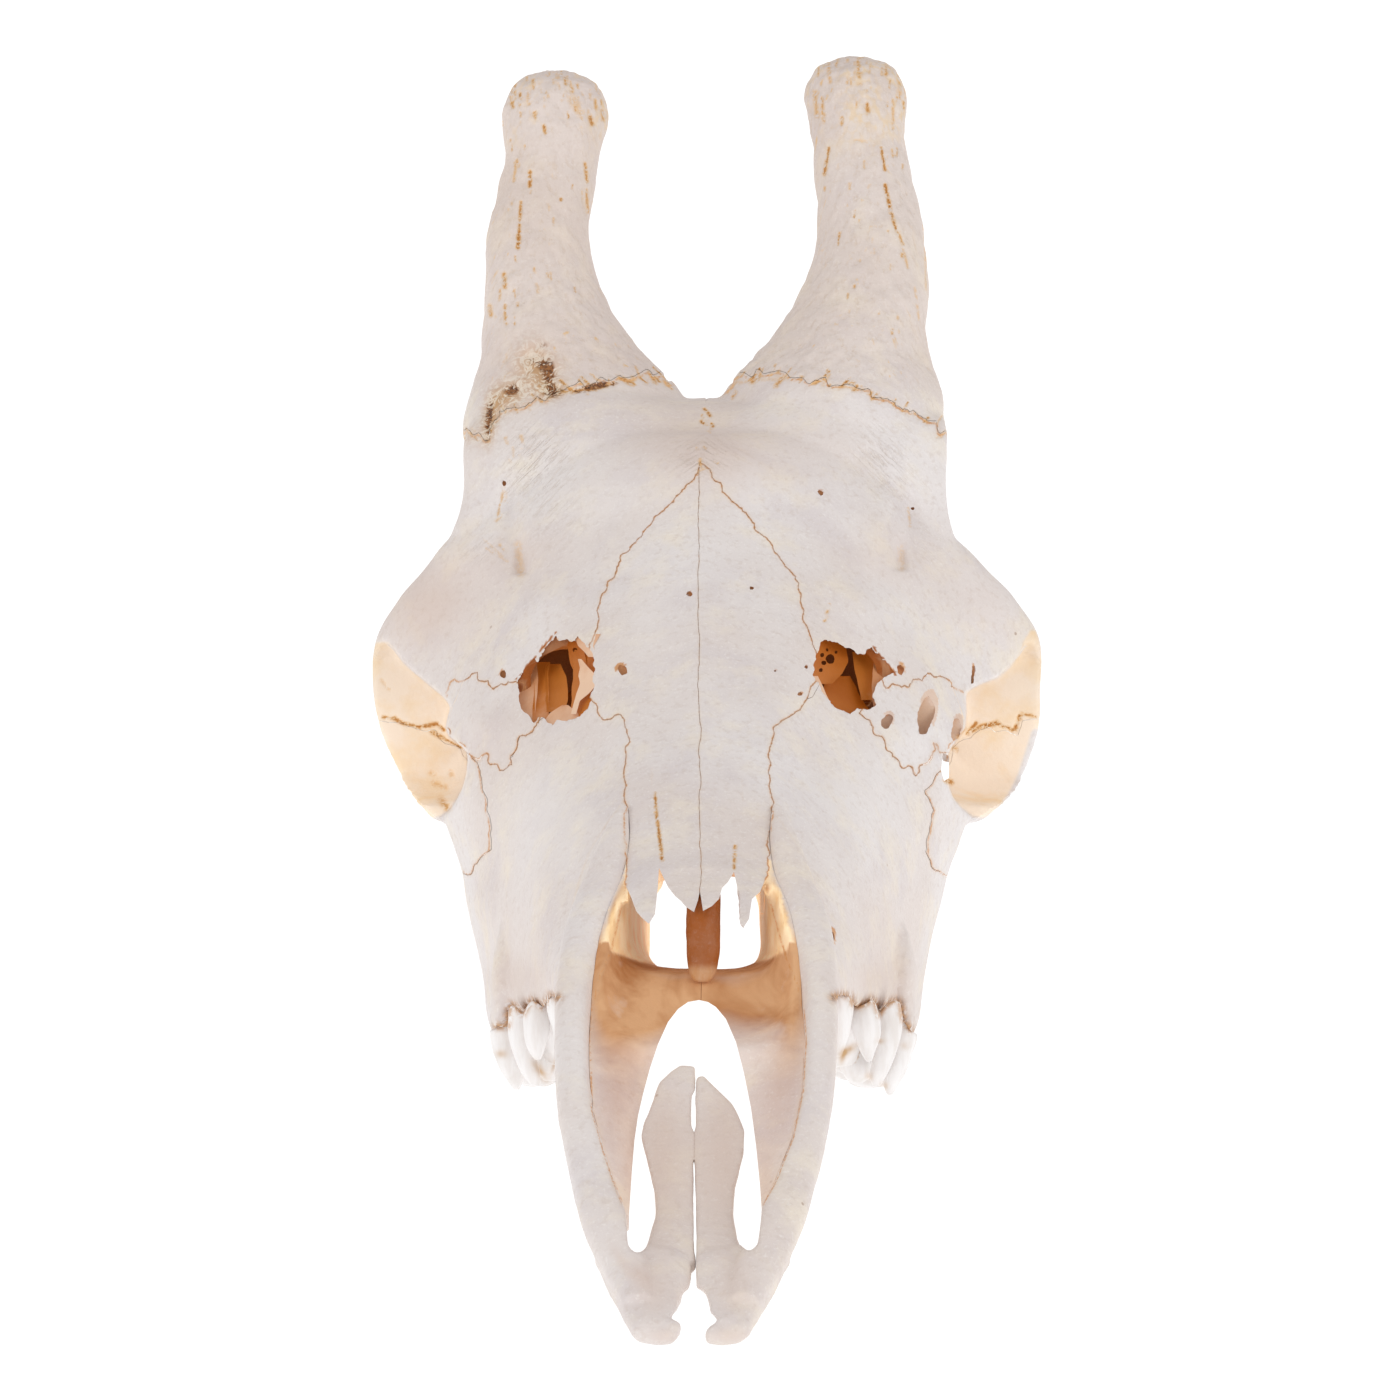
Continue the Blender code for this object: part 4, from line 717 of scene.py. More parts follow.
def surface(name, points, faces):
    """A mesh object from points in millimetres and lists of the corners of its faces."""
    mesh = bpy.data.meshes.new(name)
    mesh.from_pydata((np.asarray(points) * MM).tolist(), [], faces)
    return add_object(name, mesh)


def closed_solid(name, rings):
    """A closed surface through rings of points, row by row, with a fan over each end, wound outwards."""
    rings = np.asarray(rings, float)
    count, around = rings.shape[:2]
    a = np.arange((count - 1) * around)
    b = a - a % around + (a + 1) % around
    k = np.arange(around)
    first, last = count * around, (count - 1) * around
    faces = np.concatenate([
        np.stack([a, b, b + around], 1), np.stack([a, b + around, a + around], 1),
        np.stack([np.full(around, first), (k + 1) % around, k], 1),
        np.stack([np.full(around, first + 1), last + k, last + (k + 1) % around], 1)])
    points = np.vstack([rings.reshape(-1, 3), rings[0].mean(axis=0), rings[-1].mean(axis=0)])
    corners = points[faces]
    if np.sum(np.cross(corners[:, 0], corners[:, 1]) * corners[:, 2]) < 0:
        faces = faces[:, ::-1]
    return surface(name, points, faces.tolist())


def superellipse(around, first=1.0, second=None):
    """Cosines and sines round a circle, each raised to its own power with its sign kept."""
    angle = np.arange(around) * 2 * math.pi / around
    cos, sin = np.cos(angle), np.sin(angle)
    return np.sign(cos) * np.abs(cos) ** first, np.sign(sin) * np.abs(sin) ** (second or first)


def oval_rings(rows, side=1.0, around=40, steps=5, power=2.0, grow=0.0):
    """Superellipses |x/a|^p + |z/b|^p = 1 across y, each turned about y, at cubic places between the rows."""
    rows = np.asarray(rows, float)
    places = places_between(rows[:, 0], steps)
    x, z, half_x, half_z, turn = read_between(rows[:, 0], rows[:, 1:], places).T
    places = places + np.linspace(-grow, grow, len(places))
    flat, rise = superellipse(around, 2 / power)
    along = np.outer(np.maximum(half_x, 0.3) + grow, flat)
    up = np.outer(np.maximum(half_z, 0.3) + grow, rise)
    cos, sin = np.cos(np.radians(turn))[:, None], np.sin(np.radians(turn))[:, None]
    return np.stack([side * (x[:, None] + along * cos - up * sin),
                     np.repeat(places[:, None], around, axis=1),
                     z[:, None] + along * sin + up * cos], axis=2)


def oval_loft(name, rows, side=1.0, **how):
    """A closed solid over oval rings."""
    return closed_solid(name, oval_rings(rows, side, **how))


def section_loft(name, sections, around=160, steps=8):
    """Mirrored outlines across y: Catmull-Rom round each outline, cubic Hermite along y."""
    knots = np.array([row[0] for row in sections], float)
    halves = np.array([row[1] for row in sections], float)
    places = places_between(knots, steps)
    half = read_between(knots, halves, places)
    loop = np.concatenate([half, half[:, -2:0:-1] * np.array([-1.0, 1.0])], axis=1)
    corners = loop.shape[1]
    t = np.arange(around) * corners / around
    i = np.floor(t).astype(int)
    f = (t - i)[None, :, None]
    before, near, far, after = (loop[:, (i + k) % corners] for k in (-1, 0, 1, 2))
    curve = near + 0.5 * f * (far - before + f * (2 * before - 5 * near + 4 * far - after
                                                  + f * (3 * (near - far) + after - before)))
    rings = np.stack([curve[..., 0], np.repeat(places[:, None], around, axis=1), curve[..., 1]], axis=2)
    return closed_solid(name, rings)


def ball(name, centre, size, side=1.0, around=48, levels=30):
    """An ellipsoid: rings of radius sin(a) at height cos(a), scaled by three half sizes."""
    polar = np.linspace(0.0, math.pi, levels + 2)[1:-1]
    flat, deep = superellipse(around)
    ring_x = np.outer(np.sin(polar), flat) * size[0]
    ring_y = np.outer(np.sin(polar), deep) * size[1]
    ring_z = np.outer(np.cos(polar), np.ones(around)) * size[2]
    rings = np.stack([side * (centre[0] + ring_x), centre[1] + ring_y, centre[2] + ring_z], axis=2)
    return closed_solid(name, rings)


def upright_loft(name, rows, side=1.0, around=48, steps=5, power=2.0, shift=(0.0, 0.0)):
    """Superellipses across z at cubic places between rows of z, centre x and y, half width and half length."""
    rows = np.asarray(rows, float)
    rows = rows[np.argsort(rows[:, 0])]
    z = places_between(rows[:, 0], steps)
    x, y, half_x, half_y = read_between(rows[:, 0], rows[:, 1:], z).T
    flat, deep = superellipse(around, 2 / power)
    return closed_solid(name, np.stack([
        side * x[:, None] + shift[0] + side * np.outer(np.maximum(half_x, 0.3), flat),
        y[:, None] + np.outer(np.maximum(half_y, 0.3), deep),
        np.repeat(z[:, None] + shift[1], around, axis=1)], axis=2))


def drop_piece(thing):
    """Removes an object with its mesh."""
    mesh = thing.data
    bpy.data.objects.remove(thing)
    bpy.data.meshes.remove(mesh)


def evaluate(thing):
    """Applies an object's modifiers to its mesh."""
    bpy.context.view_layer.update()
    result = bpy.data.meshes.new_from_object(thing.evaluated_get(bpy.context.evaluated_depsgraph_get()))
    thing.modifiers.clear()
    old, thing.data = thing.data, result
    bpy.data.meshes.remove(old)
    return thing


def combine(thing, others, operation):
    """One Boolean of a solid with a collection of others, applied."""
    group = bpy.data.collections.new("pieces")
    for other in others:
        group.objects.link(other)
    step = thing.modifiers.new("combine", "BOOLEAN")
    step.operand_type = "COLLECTION"
    step.collection = group
    step.operation = operation
    step.solver = "MANIFOLD"
    evaluate(thing)
    bpy.data.collections.remove(group)
    for other in others:
        drop_piece(other)
    return thing


def refine(thing, size, rounds):
    """Remeshes a solid to an even grid of that size in millimetres and smooths it that many times."""
    step = thing.modifiers.new("even", "REMESH")
    step.mode = "VOXEL"
    step.voxel_size = size * MM
    if rounds:
        step = thing.modifiers.new("soften", "SMOOTH")
        step.factor = 0.5
        step.iterations = rounds
    return evaluate(thing)


def copy_of(thing, name):
    """A copy of a solid with a mesh of its own."""
    return add_object(name, thing.data.copy())


@contextlib.contextmanager
def edited(thing):
    """A piece's mesh for editing, written back at the end."""
    shape = bmesh.new()
    shape.from_mesh(thing.data)
    yield shape
    shape.to_mesh(thing.data)
    shape.free()


def edge_ends(thing):
    """The numbers of the points at the two ends of each edge."""
    edges = np.empty(len(thing.data.edges) * 2, dtype=np.int64)
    thing.data.edges.foreach_get("vertices", edges)
    return edges.reshape(-1, 2).T


def points_of(thing):
    """The points of a mesh, in millimetres."""
    flat = np.empty(len(thing.data.vertices) * 3)
    thing.data.vertices.foreach_get("co", flat)
    return flat.reshape(-1, 3) / MM


def normals_of(thing):
    """The outward direction at each point of a mesh."""
    flat = np.empty(len(thing.data.vertices) * 3)
    thing.data.vertex_normals.foreach_get("vector", flat)
    return flat.reshape(-1, 3)


def place_points(thing, points):
    """Moves the points of a mesh to new places in millimetres."""
    thing.data.vertices.foreach_set("co", (points * MM).ravel())
    thing.data.update()


def view_axes():
    """The front view's forward, right and up directions."""
    forward = np.array([math.sin(EYE_TURN) * math.cos(EYE_TILT), math.cos(EYE_TURN) * math.cos(EYE_TILT),
                        -math.sin(EYE_TILT)])
    right = np.array([math.cos(EYE_TURN), -math.sin(EYE_TURN), 0.0])
    return forward, right, np.cross(right, forward)


FORWARD, RIGHT, UP = view_axes()


def picture(points):
    """Where points show in the front view, and how far from the eye they are."""
    away = points - EYE_POINT
    depth = away @ FORWARD
    scale = ORBIT_DISTANCE / STEP / depth
    return MIDDLE + (away @ RIGHT) * scale, MIDDLE - (away @ UP) * scale, depth


def behind(places, distance):
    """The points behind picture places, at a distance from the eye."""
    places = np.atleast_2d(np.asarray(places, float))
    rays = (FORWARD + (places[:, :1] - MIDDLE) * STEP / ORBIT_DISTANCE * RIGHT
            + (MIDDLE - places[:, 1:]) * STEP / ORBIT_DISTANCE * UP)
    return EYE_POINT + rays * distance


def comb(label):
    """Short strokes across an ossicone's suture, leaning to the middle, of uneven spacing, length and strength."""
    line = suture("ossicone", label)
    reach = np.concatenate([[0.0], np.cumsum(np.linalg.norm(np.diff(line, axis=0), axis=1))])
    seeds = np.arange(60)[:, None] * np.array([1.0, 0.0, 0.0])
    luck = [clear_noise(seeds, k) for k in range(6)]
    places = np.cumsum(2.5 + 11 * luck[0] ** 2)
    keep = places < reach[-1]
    x, y = np.interp(places, reach, line[:, 0]), np.interp(places, reach, line[:, 1])
    lean = (-0.3 - 0.9 * luck[4]) * (1 if label == "right" else -1)
    up, down = 1.5 + 9 * luck[1] ** 2, 0.5 + 4 * luck[2] ** 2
    return np.stack([x + lean * up, y - up, x - lean * down, y + down, 0.8 + 1.1 * luck[5] ** 2,
                     0.2 + 0.8 * luck[3] ** 1.5], axis=1)[keep]


def scatter(left, right, top, bottom, bias, seed, count=46):
    """Short upright strokes strewn over an ossicone between two lines, crowded towards one side."""
    seeds = np.arange(count)[:, None] * np.array([1.0, 0.0, 0.0])
    luck = [clear_noise(seeds, seed + k) for k in range(5)]
    across = luck[0] ** 1.8 if bias < 0 else 1 - luck[0] ** 1.8
    y = top + (bottom - top) * luck[1] ** 1.4
    x = left + across * (right - left) - bias * (y - top) * 0.06
    long = 1.5 + 8 * luck[2] ** 2
    return np.stack([x, y - long / 2, x - bias * 0.08 * long, y + long / 2,
                     0.8 + 0.7 * luck[3], 0.2 + 0.5 * luck[4]], axis=1)


def streaks(px, py):
    """Strength of the nearest streak: Gaussian across each, with the strokes of both combs."""
    total = np.zeros(len(px))
    strewn = np.vstack([scatter(500, 600, 84, 334, -1, 61), scatter(812, 914, 84, 334, 1, 71),
                        scatter(508, 600, 58, 108, -1, 81, 44), scatter(604, 512, 60, 118, -1, 87, 50),
                        scatter(816, 908, 52, 108, 1, 91, 60)])
    for x0, y0, x1, y1, wide, strength in np.vstack([STREAKS, comb("right"), comb("left"), strewn]):
        near = line_distance(px, py, np.array([(x0, y0), (x1, y1)]), 8.0)
        total = np.maximum(total, strength * np.exp(-(near / wide) ** 2))
    return total


def wander(places, swing, wave, seed, closed=False):
    """A line that wanders across itself: smooth noise of that wave length and swing, with a third of both on top."""
    places = np.asarray(places, float)
    if closed:
        places = np.vstack([places, places[:1]])
    lengths = np.linalg.norm(np.diff(places, axis=0), axis=1)
    reach = np.concatenate([[0.0], np.cumsum(lengths)])
    t = np.linspace(0, reach[-1], max(3, int(reach[-1] / min(2.6, wave / 3)) + 1))
    line = np.stack([np.interp(t, reach, places[:, 0]), np.interp(t, reach, places[:, 1])], axis=1)
    ahead = np.gradient(line, axis=0)
    ahead /= np.maximum(np.linalg.norm(ahead, axis=1), 1e-6)[:, None]
    across = np.stack([-ahead[:, 1], ahead[:, 0]], axis=1)
    track = np.stack([t, np.full_like(t, 17.0 * seed), np.zeros_like(t)], axis=1)
    sway = swing * (noise(track, wave, seed) + 0.35 * noise(track, wave / 3, seed + 1))
    sway *= np.clip(np.minimum(t, t[-1] - t) / 4, 0, 1)
    line = line + across * sway[:, None]
    return line[:-1] if closed else line


def suture(kind, label):
    """One side's suture in the front view, wandering as that kind does."""
    edges, swing, wave, seeds, closed = SUTURES[kind]
    return wander(edges[label], swing, wave, seeds[label == "left"], closed)


def seam_block(name, outline, near, far, grow=0.0, slant=None):
    """The space behind an outline in the front view, between two distances from the eye.

    A slant is (right, down, distance): how far the outline shifts from the near end to the far end, and the
    distance at which it is in place.
    """
    outline = np.asarray(outline, float)
    keep = np.linalg.norm(outline - np.roll(outline, 1, axis=0), axis=1) > 0.05
    outline = outline[keep]
    ahead = np.roll(outline, -1, axis=0) - outline
    ahead /= np.linalg.norm(ahead, axis=1)[:, None]
    turn = np.sign(np.sum(outline[:, 0] * np.roll(outline[:, 1], -1) - outline[:, 1] * np.roll(outline[:, 0], -1)))
    normal = turn * np.stack([ahead[:, 1], -ahead[:, 0]], axis=1)
    corner = normal + np.roll(normal, 1, axis=0)
    corner /= np.maximum(np.sum(corner * normal, axis=1), 0.6)[:, None]
    outline = outline + grow / STEP * corner
    count = len(outline)
    shift, share = (np.array(slant[:2]), (slant[2] - near) / (far - near)) if slant else (np.zeros(2), 0.0)
    points = np.vstack([behind(outline - shift * share, near - grow),
                        behind(outline + shift * (1 - share), far + grow)])
    k = np.arange(count)
    sides = np.stack([(k + 1) % count, k, k + count, (k + 1) % count + count], axis=1)
    faces = [k.tolist(), (k[::-1] + count).tolist()] + sides.tolist()
    block = surface(name, points, faces)
    step = block.modifiers.new("triangles", "TRIANGULATE")
    step.ngon_method = "BEAUTY"
    evaluate(block)
    corners = points_of(block)[np.array([tuple(p.vertices) for p in block.data.polygons])]
    if np.sum(np.cross(corners[:, 0], corners[:, 1]) * corners[:, 2]) < 0:
        block.data.flip_normals()
    return block


def roof_core(name, depth):
    """The inside of the face: its roof lowered by a depth, straight down to below the teeth."""
    sections = []
    for y, half in FACE_SECTIONS:
        (_, z0), (x1, z1), (x2, z2), (x3, z3) = half[:4]
        sections.append((y, ((0, z0 - depth), (x1, z1 - depth), (x2, z2 - depth), (x3 + 6, z3 - depth - 4),
                             (x3 + 8, -40), (30, -60), (0, -60))))
    return section_loft(name, sections, around=96, steps=4)


def line_distance(px, py, line, reach=40.0):
    """Distance in the front view from points to a line of places, up to a reach."""
    nearest = np.full(len(px), reach)
    low, high = line.min(axis=0) - reach, line.max(axis=0) + reach
    near = np.nonzero((px > low[0]) & (px < high[0]) & (py > low[1]) & (py < high[1]))[0]
    x, y = px[near], py[near]
    best = np.full(len(near), reach)
    for (ax, ay), (bx, by) in zip(line[:-1], line[1:]):
        dx, dy = bx - ax, by - ay
        t = np.clip(((x - ax) * dx + (y - ay) * dy) / max(dx * dx + dy * dy, 1e-9), 0, 1)
        best = np.minimum(best, np.hypot(x - ax - t * dx, y - ay - t * dy))
    nearest[near] = best
    return nearest


def within(px, py, outline):
    """Distance in the front view from an outline, positive inside, where an odd number of edges lies to the right."""
    loop = np.vstack([outline, outline[:1]])
    inside = np.zeros(len(px), dtype=bool)
    for (ax, ay), (bx, by) in zip(loop[:-1], loop[1:]):
        if ay != by:
            inside ^= ((ay > py) != (by > py)) & (px < ax + (py - ay) * (bx - ax) / (by - ay))
    return line_distance(px, py, loop) * np.where(inside, 1, -1)


def turned(px, py, cx, cy, turn):
    """Places in the front view measured from a middle along axes turned by that many degrees."""
    cos, sin = math.cos(math.radians(turn)), math.sin(math.radians(turn))
    x, y = px - cx, py - cy
    return x * cos + y * sin, y * cos - x * sin


def spots(px, py, rows):
    """The sum of turned Gaussian spots: middle, half width, half height, turn and height of each."""
    total = np.zeros(len(px))
    for cx, cy, rx, ry, turn, height in rows:
        x, y = turned(px, py, cx, cy, turn)
        total += height * np.exp(-(x / rx) ** 2 - (y / ry) ** 2)
    return total


def limited_spots(px, py, rows):
    """Turned Gaussian spots that add up to 1 at most."""
    return np.clip(spots(px, py, rows), 0, 1)


def smooth_step(value, low, high):
    """0 below low, 1 above high and 3t^2 - 2t^3 between."""
    t = np.clip((value - low) / (high - low), 0, 1)
    return t * t * (3 - 2 * t)


def fit_outline(whole):
    """Shifts the surface across the view so that the outline sits right, fading out away from the outline."""
    points = points_of(whole)
    px, py, depth = picture(points)
    shift, total = np.zeros(len(points)), np.full(len(points), 0.35)
    for x, y, move in OUTLINE_FIT:
        weight = np.exp(-((px - x) ** 2 + (py - y) ** 2) / 2 / 17.0**2)
        shift += weight * move
        total += weight
    shift /= total
    size = smooth_step(560 - points[:, 1], 0, 40) * depth * STEP / ORBIT_DISTANCE
    lift = sum(np.exp(-((px - x) / 12) ** 2 - ((py - y) / 16) ** 2) * move for x, y, move in BROW_FIT)
    place_points(whole, points + RIGHT * (shift * size)[:, None] + UP * (lift * size)[:, None])


def skull_mass():
    """All the skull's bone but the premaxillae as one even mesh, with its large hollows."""
    whole = section_loft("skull", FACE_SECTIONS)
    forms = [
        section_loft("brow", BROW_SECTIONS, around=120, steps=6),
        section_loft("brain_case", CASE_SECTIONS, around=120, steps=6),
        oval_loft("nuchal_crest", CREST_ROWS, around=72),
        oval_loft("basicranium", BASICRANIUM_ROWS, around=40),
    ]
    for label, side in SIDES:
        forms += [
            oval_loft("wall", WALL_ROWS, side),
            oval_loft("arch", ARCH_ROWS, side),
            oval_loft("pterygoid", PTERYGOID_ROWS, side),
            ball("condyle", *CONDYLE, side),
            ball("bulla", *BULLA, side),
            upright_loft("jugular_process", JUGULAR_ROWS, side),
            crown(*ROOT_WALLS[label]),
            upright_loft("ossicone", [(z, x, y, rx, ry) for z, y, x, rx, ry in OSSICONE_ROWS], side,
                         around=72, shift=OSSICONE_SHIFT[label]),
        ]
    combine(whole, forms, "UNION")
    lids = [combine(copy_of(whole, "lid"), [seam_block("lid", LID[label], *REACH["lid"])], "INTERSECT")
            for label, _ in SIDES]
    hollows = [
        oval_loft("aperture", APERTURE_ROWS, around=96, power=5.0),
        oval_loft("passage", PASSAGE_ROWS, around=96, power=4.0),
        oval_loft("foramen_magnum", FORAMEN_ROWS, around=48),
    ]
    for label, side in SIDES:
        hollows += [
            oval_loft("eye", EYE_ROWS, side, around=72, power=2.3),
            ball("temple", *TEMPLE, side),
            ball("gate", *GATE, side),
            seam_block("socket", SOCKET[label], *REACH["socket"]),
        ]
    combine(whole, hollows, "DIFFERENCE")
    combine(whole, lids + [nasal_tips(label) for label, _ in SIDES], "UNION")
    return refine(whole, FINE, 5)


def shape_surface(whole):
    """Moves each point along its normal by the relief, the grain of the bone and the ossicones' grooves."""
    points, normals = points_of(whole), normals_of(whole)
    px, py, _ = picture(points)
    facing = -normals @ FORWARD
    front = smooth_step(facing, 0.0, 0.45) * smooth_step(470 - points[:, 1], 0, 30)
    rise = spots(px, py, RELIEF) * front
    rise += 0.25 * noise(points, 14.0, 1) + 0.12 * noise(points, 5.0, 2)
    horn = smooth_step(points[:, 2], 205, 225)
    along = points * np.array([1.0, 1.0, 0.16])
    rise += horn * (0.55 * noise(along, 3.6, 5) + 0.3 * noise(along, 1.9, 6))
    knob = smooth_step(points[:, 2], 296, 308)
    rise += knob * (0.45 * noise(points, 4.2, 7) + 0.2 * noise(points, 2.2, 8))
    rise -= limited_spots(px, py, CRUST) * front * 0.8
    place_points(whole, points + normals * rise[:, None])


def front_limit(points):
    """How far back the marks seen from the front reach: further on the ossicones."""
    return np.where(points[:, 2] > HORN_HEIGHT, HORN_LIMIT, FACE_LIMIT)


def finer(thing, boxes):
    """Divides the edges of the faces that show inside boxes of the front view, given as left, top, right, bottom."""
    points, normals = points_of(thing), normals_of(thing)
    px, py, _ = picture(points)
    inside = np.zeros(len(points), dtype=bool)
    for left, top, right, bottom in boxes:
        inside |= (px > left) & (px < right) & (py > top) & (py < bottom)
    inside &= (points[:, 1] < 540) & (normals @ FORWARD < 0.35)
    with edited(thing) as shape:
        edges = [edge for edge in shape.edges if inside[edge.verts[0].index] and inside[edge.verts[1].index]]
        bmesh.ops.subdivide_edges(shape, edges=edges, cuts=1, use_grid_fill=True)


def carve(thing):
    """Presses streaks, broken crust and hairs into the bone along the view, alike on both sides of a suture."""
    points, normals = points_of(thing), normals_of(thing)
    px, py, _ = picture(points)
    front = smooth_step(-normals @ FORWARD, 0.0, 0.35) * smooth_step(front_limit(points) - points[:, 1], 0, 20)
    crust, dark = limited_spots(px, py, CRUST), limited_spots(px, py, CRUST_DARK)
    rise = crust * (0.9 * noise(points, 3.0, 9) + 0.4 * noise(points, 1.5, 10) - 0.3) - 0.9 * dark
    rise -= 0.5 * streaks(px, py)
    for x, y, wide, long in FUNNELS:
        rise -= 3.0 * np.exp(-((px - x) / wide) ** 2) * smooth_step(y - py, 0, 4) * smooth_step(py - y, -long, -6)
    knob = smooth_step(points[:, 2], 298, 310)
    rise += knob * 0.14 * noise(points * (1, 1, 0.7), 1.7, 12)
    place_points(thing, points - FORWARD * (rise * front)[:, None])


def part_off(whole, name, block, grown_block):
    """Parts the bone inside a block off the skull, with the suture's gap round it."""
    bone = copy_of(whole, name)
    combine(bone, [block], "INTERSECT")
    combine(whole, [grown_block], "DIFFERENCE")
    return keep_largest(bone)


def part_behind(whole, kind, label, outline, slant=None):
    """Parts one side's bone of that kind off the skull, behind its outline in the front view."""
    block, grown_block = (seam_block(kind, outline, *REACH[kind], grow, slant) for grow in (0.0, GAP))
    return part_off(whole, kind + "_" + label, block, grown_block)


def keep_largest(thing):
    """Keeps the part of a mesh that holds most points, found by spreading the lowest number along its edges."""
    a, b = edge_ends(thing)
    label = np.arange(len(thing.data.vertices))
    while True:
        low = np.minimum(label[a], label[b])
        fresh = label.copy()
        np.minimum.at(fresh, a, low)
        np.minimum.at(fresh, b, low)
        fresh = fresh[fresh]
        if np.array_equal(fresh, label):
            break
        label = fresh
    names, counts = np.unique(label, return_counts=True)
    if len(names) > 1:
        loose = np.nonzero(label != names[np.argmax(counts)])[0]
        with edited(thing) as shape:
            shape.verts.ensure_lookup_table()
            bmesh.ops.delete(shape, geom=[shape.verts[i] for i in loose], context="VERTS")
    return thing


def nasal_outline(label):
    """One nasal bone's outline: its wandering outer suture, its torn front edge and the midline."""
    middle = suture("middle", label) + (0.2 if label == "left" else -0.2, 0)
    return np.vstack([suture("nasal", label), NASAL_TIPS[label][1:], middle[1:-1]])


def nasal_tips(label):
    """The torn front end of a nasal: a thin sheet with its top at z0 - x^2 / 104, inside the bone's outline."""
    y, top, thick = np.asarray(SHEET_ROWS, float).T
    down, across = SHEET_GRID
    places = np.linspace(y[0], y[-1], down)
    top, thick = np.interp(places, y, top), np.interp(places, y, thick)
    x = np.linspace(-27.5, 27.5, across)
    upper = np.stack([np.tile(x, (down, 1)), np.repeat(places[:, None], across, 1),
                      top[:, None] - x**2 / 104], axis=2)
    lower = upper[:, ::-1] - np.stack([0 * thick, 0 * thick, thick], axis=1)[:, None]
    sheet = closed_solid("tips", np.concatenate([upper, lower], axis=1))
    return combine(sheet, [seam_block("nasal", nasal_outline(label), *REACH["nasal"], 1.0)], "INTERSECT")


def rim_plane(whole, outline):
    """The plane depth = a + b x + c y through the surface just outside an opening, by least squares."""
    middle = np.mean(outline, axis=0)
    places = middle + (np.array(outline, float) - middle) * 1.25
    depth = np.array([surface_distance(whole, *place) for place in places])
    rows = np.column_stack([np.ones(len(places)), places])
    keep = np.abs(depth - np.median(depth)) < 25
    return np.linalg.lstsq(rows[keep], depth[keep], rcond=None)[0]


def lamella(name, bulge, holes, rows, plane):
    """A thin plate between two edges given row by row in the front view, bulging back by sin(pi u), with holes."""
    rows = np.asarray(rows, float)
    count, columns = PLATE_GRID
    down = np.linspace(rows[0, 0], rows[-1, 0], count)
    left, right, near, far = (np.interp(down, rows[:, 0], column) for column in rows[:, 1:].T)
    u = np.linspace(0, 1, columns)
    across = left[:, None] + (right - left)[:, None] * u
    ragged = 1.4 * noise(np.stack([down, down * 0 + left[0], down * 0], axis=1), 7.0, 41)
    depth = (plane[0] + plane[1] * across + plane[2] * down[:, None] + near[:, None] + (far - near)[:, None] * u
             + bulge * np.sin(math.pi * u))
    places = np.stack([across + ragged[:, None] * (u - 0.5), np.repeat(down[:, None], columns, 1)], axis=2)
    front = behind(places.reshape(-1, 2), depth.reshape(-1, 1)).reshape(count, columns, 3)
    back = front[:, ::-1] + FORWARD * 0.7
    plate = closed_solid(name, np.concatenate([front, back], axis=1))
    cuts = []
    for x, y, size in holes:
        loop = np.stack(superellipse(12), axis=1) * (size, 1.1 * size) + (x, y)
        cuts.append(seam_block("hole", wander(loop, 0.8, 4.0, x, closed=True), *REACH["plate_hole"]))
    if cuts:
        combine(plate, cuts, "DIFFERENCE")
    return plate


def lamellae(label, plane):
    """The thin plates in one side's opening, joined, with the tone of each kept on its points."""
    plates = [lamella("plate", *row[1:], plane) for row in LAMELLAE[label]]
    tones = np.concatenate([np.full(len(plate.data.vertices), row[0]) for plate, row in zip(plates, LAMELLAE[label])])
    points, faces, start = [], [], 0
    for plate in plates:
        points.append(points_of(plate))
        faces += [[v + start for v in polygon.vertices] for polygon in plate.data.polygons]
        start += len(plate.data.vertices)
        drop_piece(plate)
    # Painted shade: plates higher in the opening, under its rim, get a deeper tone
    tones += 0.004 * (690 - picture(np.vstack(points))[1])
    thing = surface("lamellae_" + label, np.vstack(points), faces)
    mark(thing, "tone", tones)
    return thing


def cut_openings(whole):
    """Cuts the openings; gives the plane through each large one's rim, and the small ones with their distance."""
    cuts = [seam_block("palate_gap", PALATE_GAP, *REACH["palate_gap"]), seam_block("slit", SLIT, *REACH["slit"])]
    planes = {label: rim_plane(whole, FENESTRA[label]) for label, _ in SIDES}
    pits = []
    for label, _ in SIDES:
        ragged = wander(FENESTRA[label], 1.6, 4.2, 5, closed=True)
        depth = opening_distance(label, planes[label])
        cuts += [seam_block("fenestra", ragged, depth - OPENING_LEAD, depth + OPENING_DEPTH),
                 ball("sinus", *sinus(label, depth)),
                 seam_block("sockets", GUM_EDGE[label], *REACH["gum"])]
    for cx, cy, rx, ry, turn, deep in SMALL_HOLES:
        cos, sin = math.cos(math.radians(turn)), math.sin(math.radians(turn))
        loop = np.stack(superellipse(14), axis=1) * (rx, ry) @ np.array([[cos, sin], [-sin, cos]]) + (cx, cy)
        hit = surface_distance(whole, cx, cy)
        pits.append((cx, cy, rx, ry, turn, hit))
        cuts.append(seam_block("hole", wander(loop, 1.6, 6.0, cx, closed=True), hit - HOLE_LEAD, hit + deep))
    combine(whole, cuts, "DIFFERENCE")
    return planes, pits


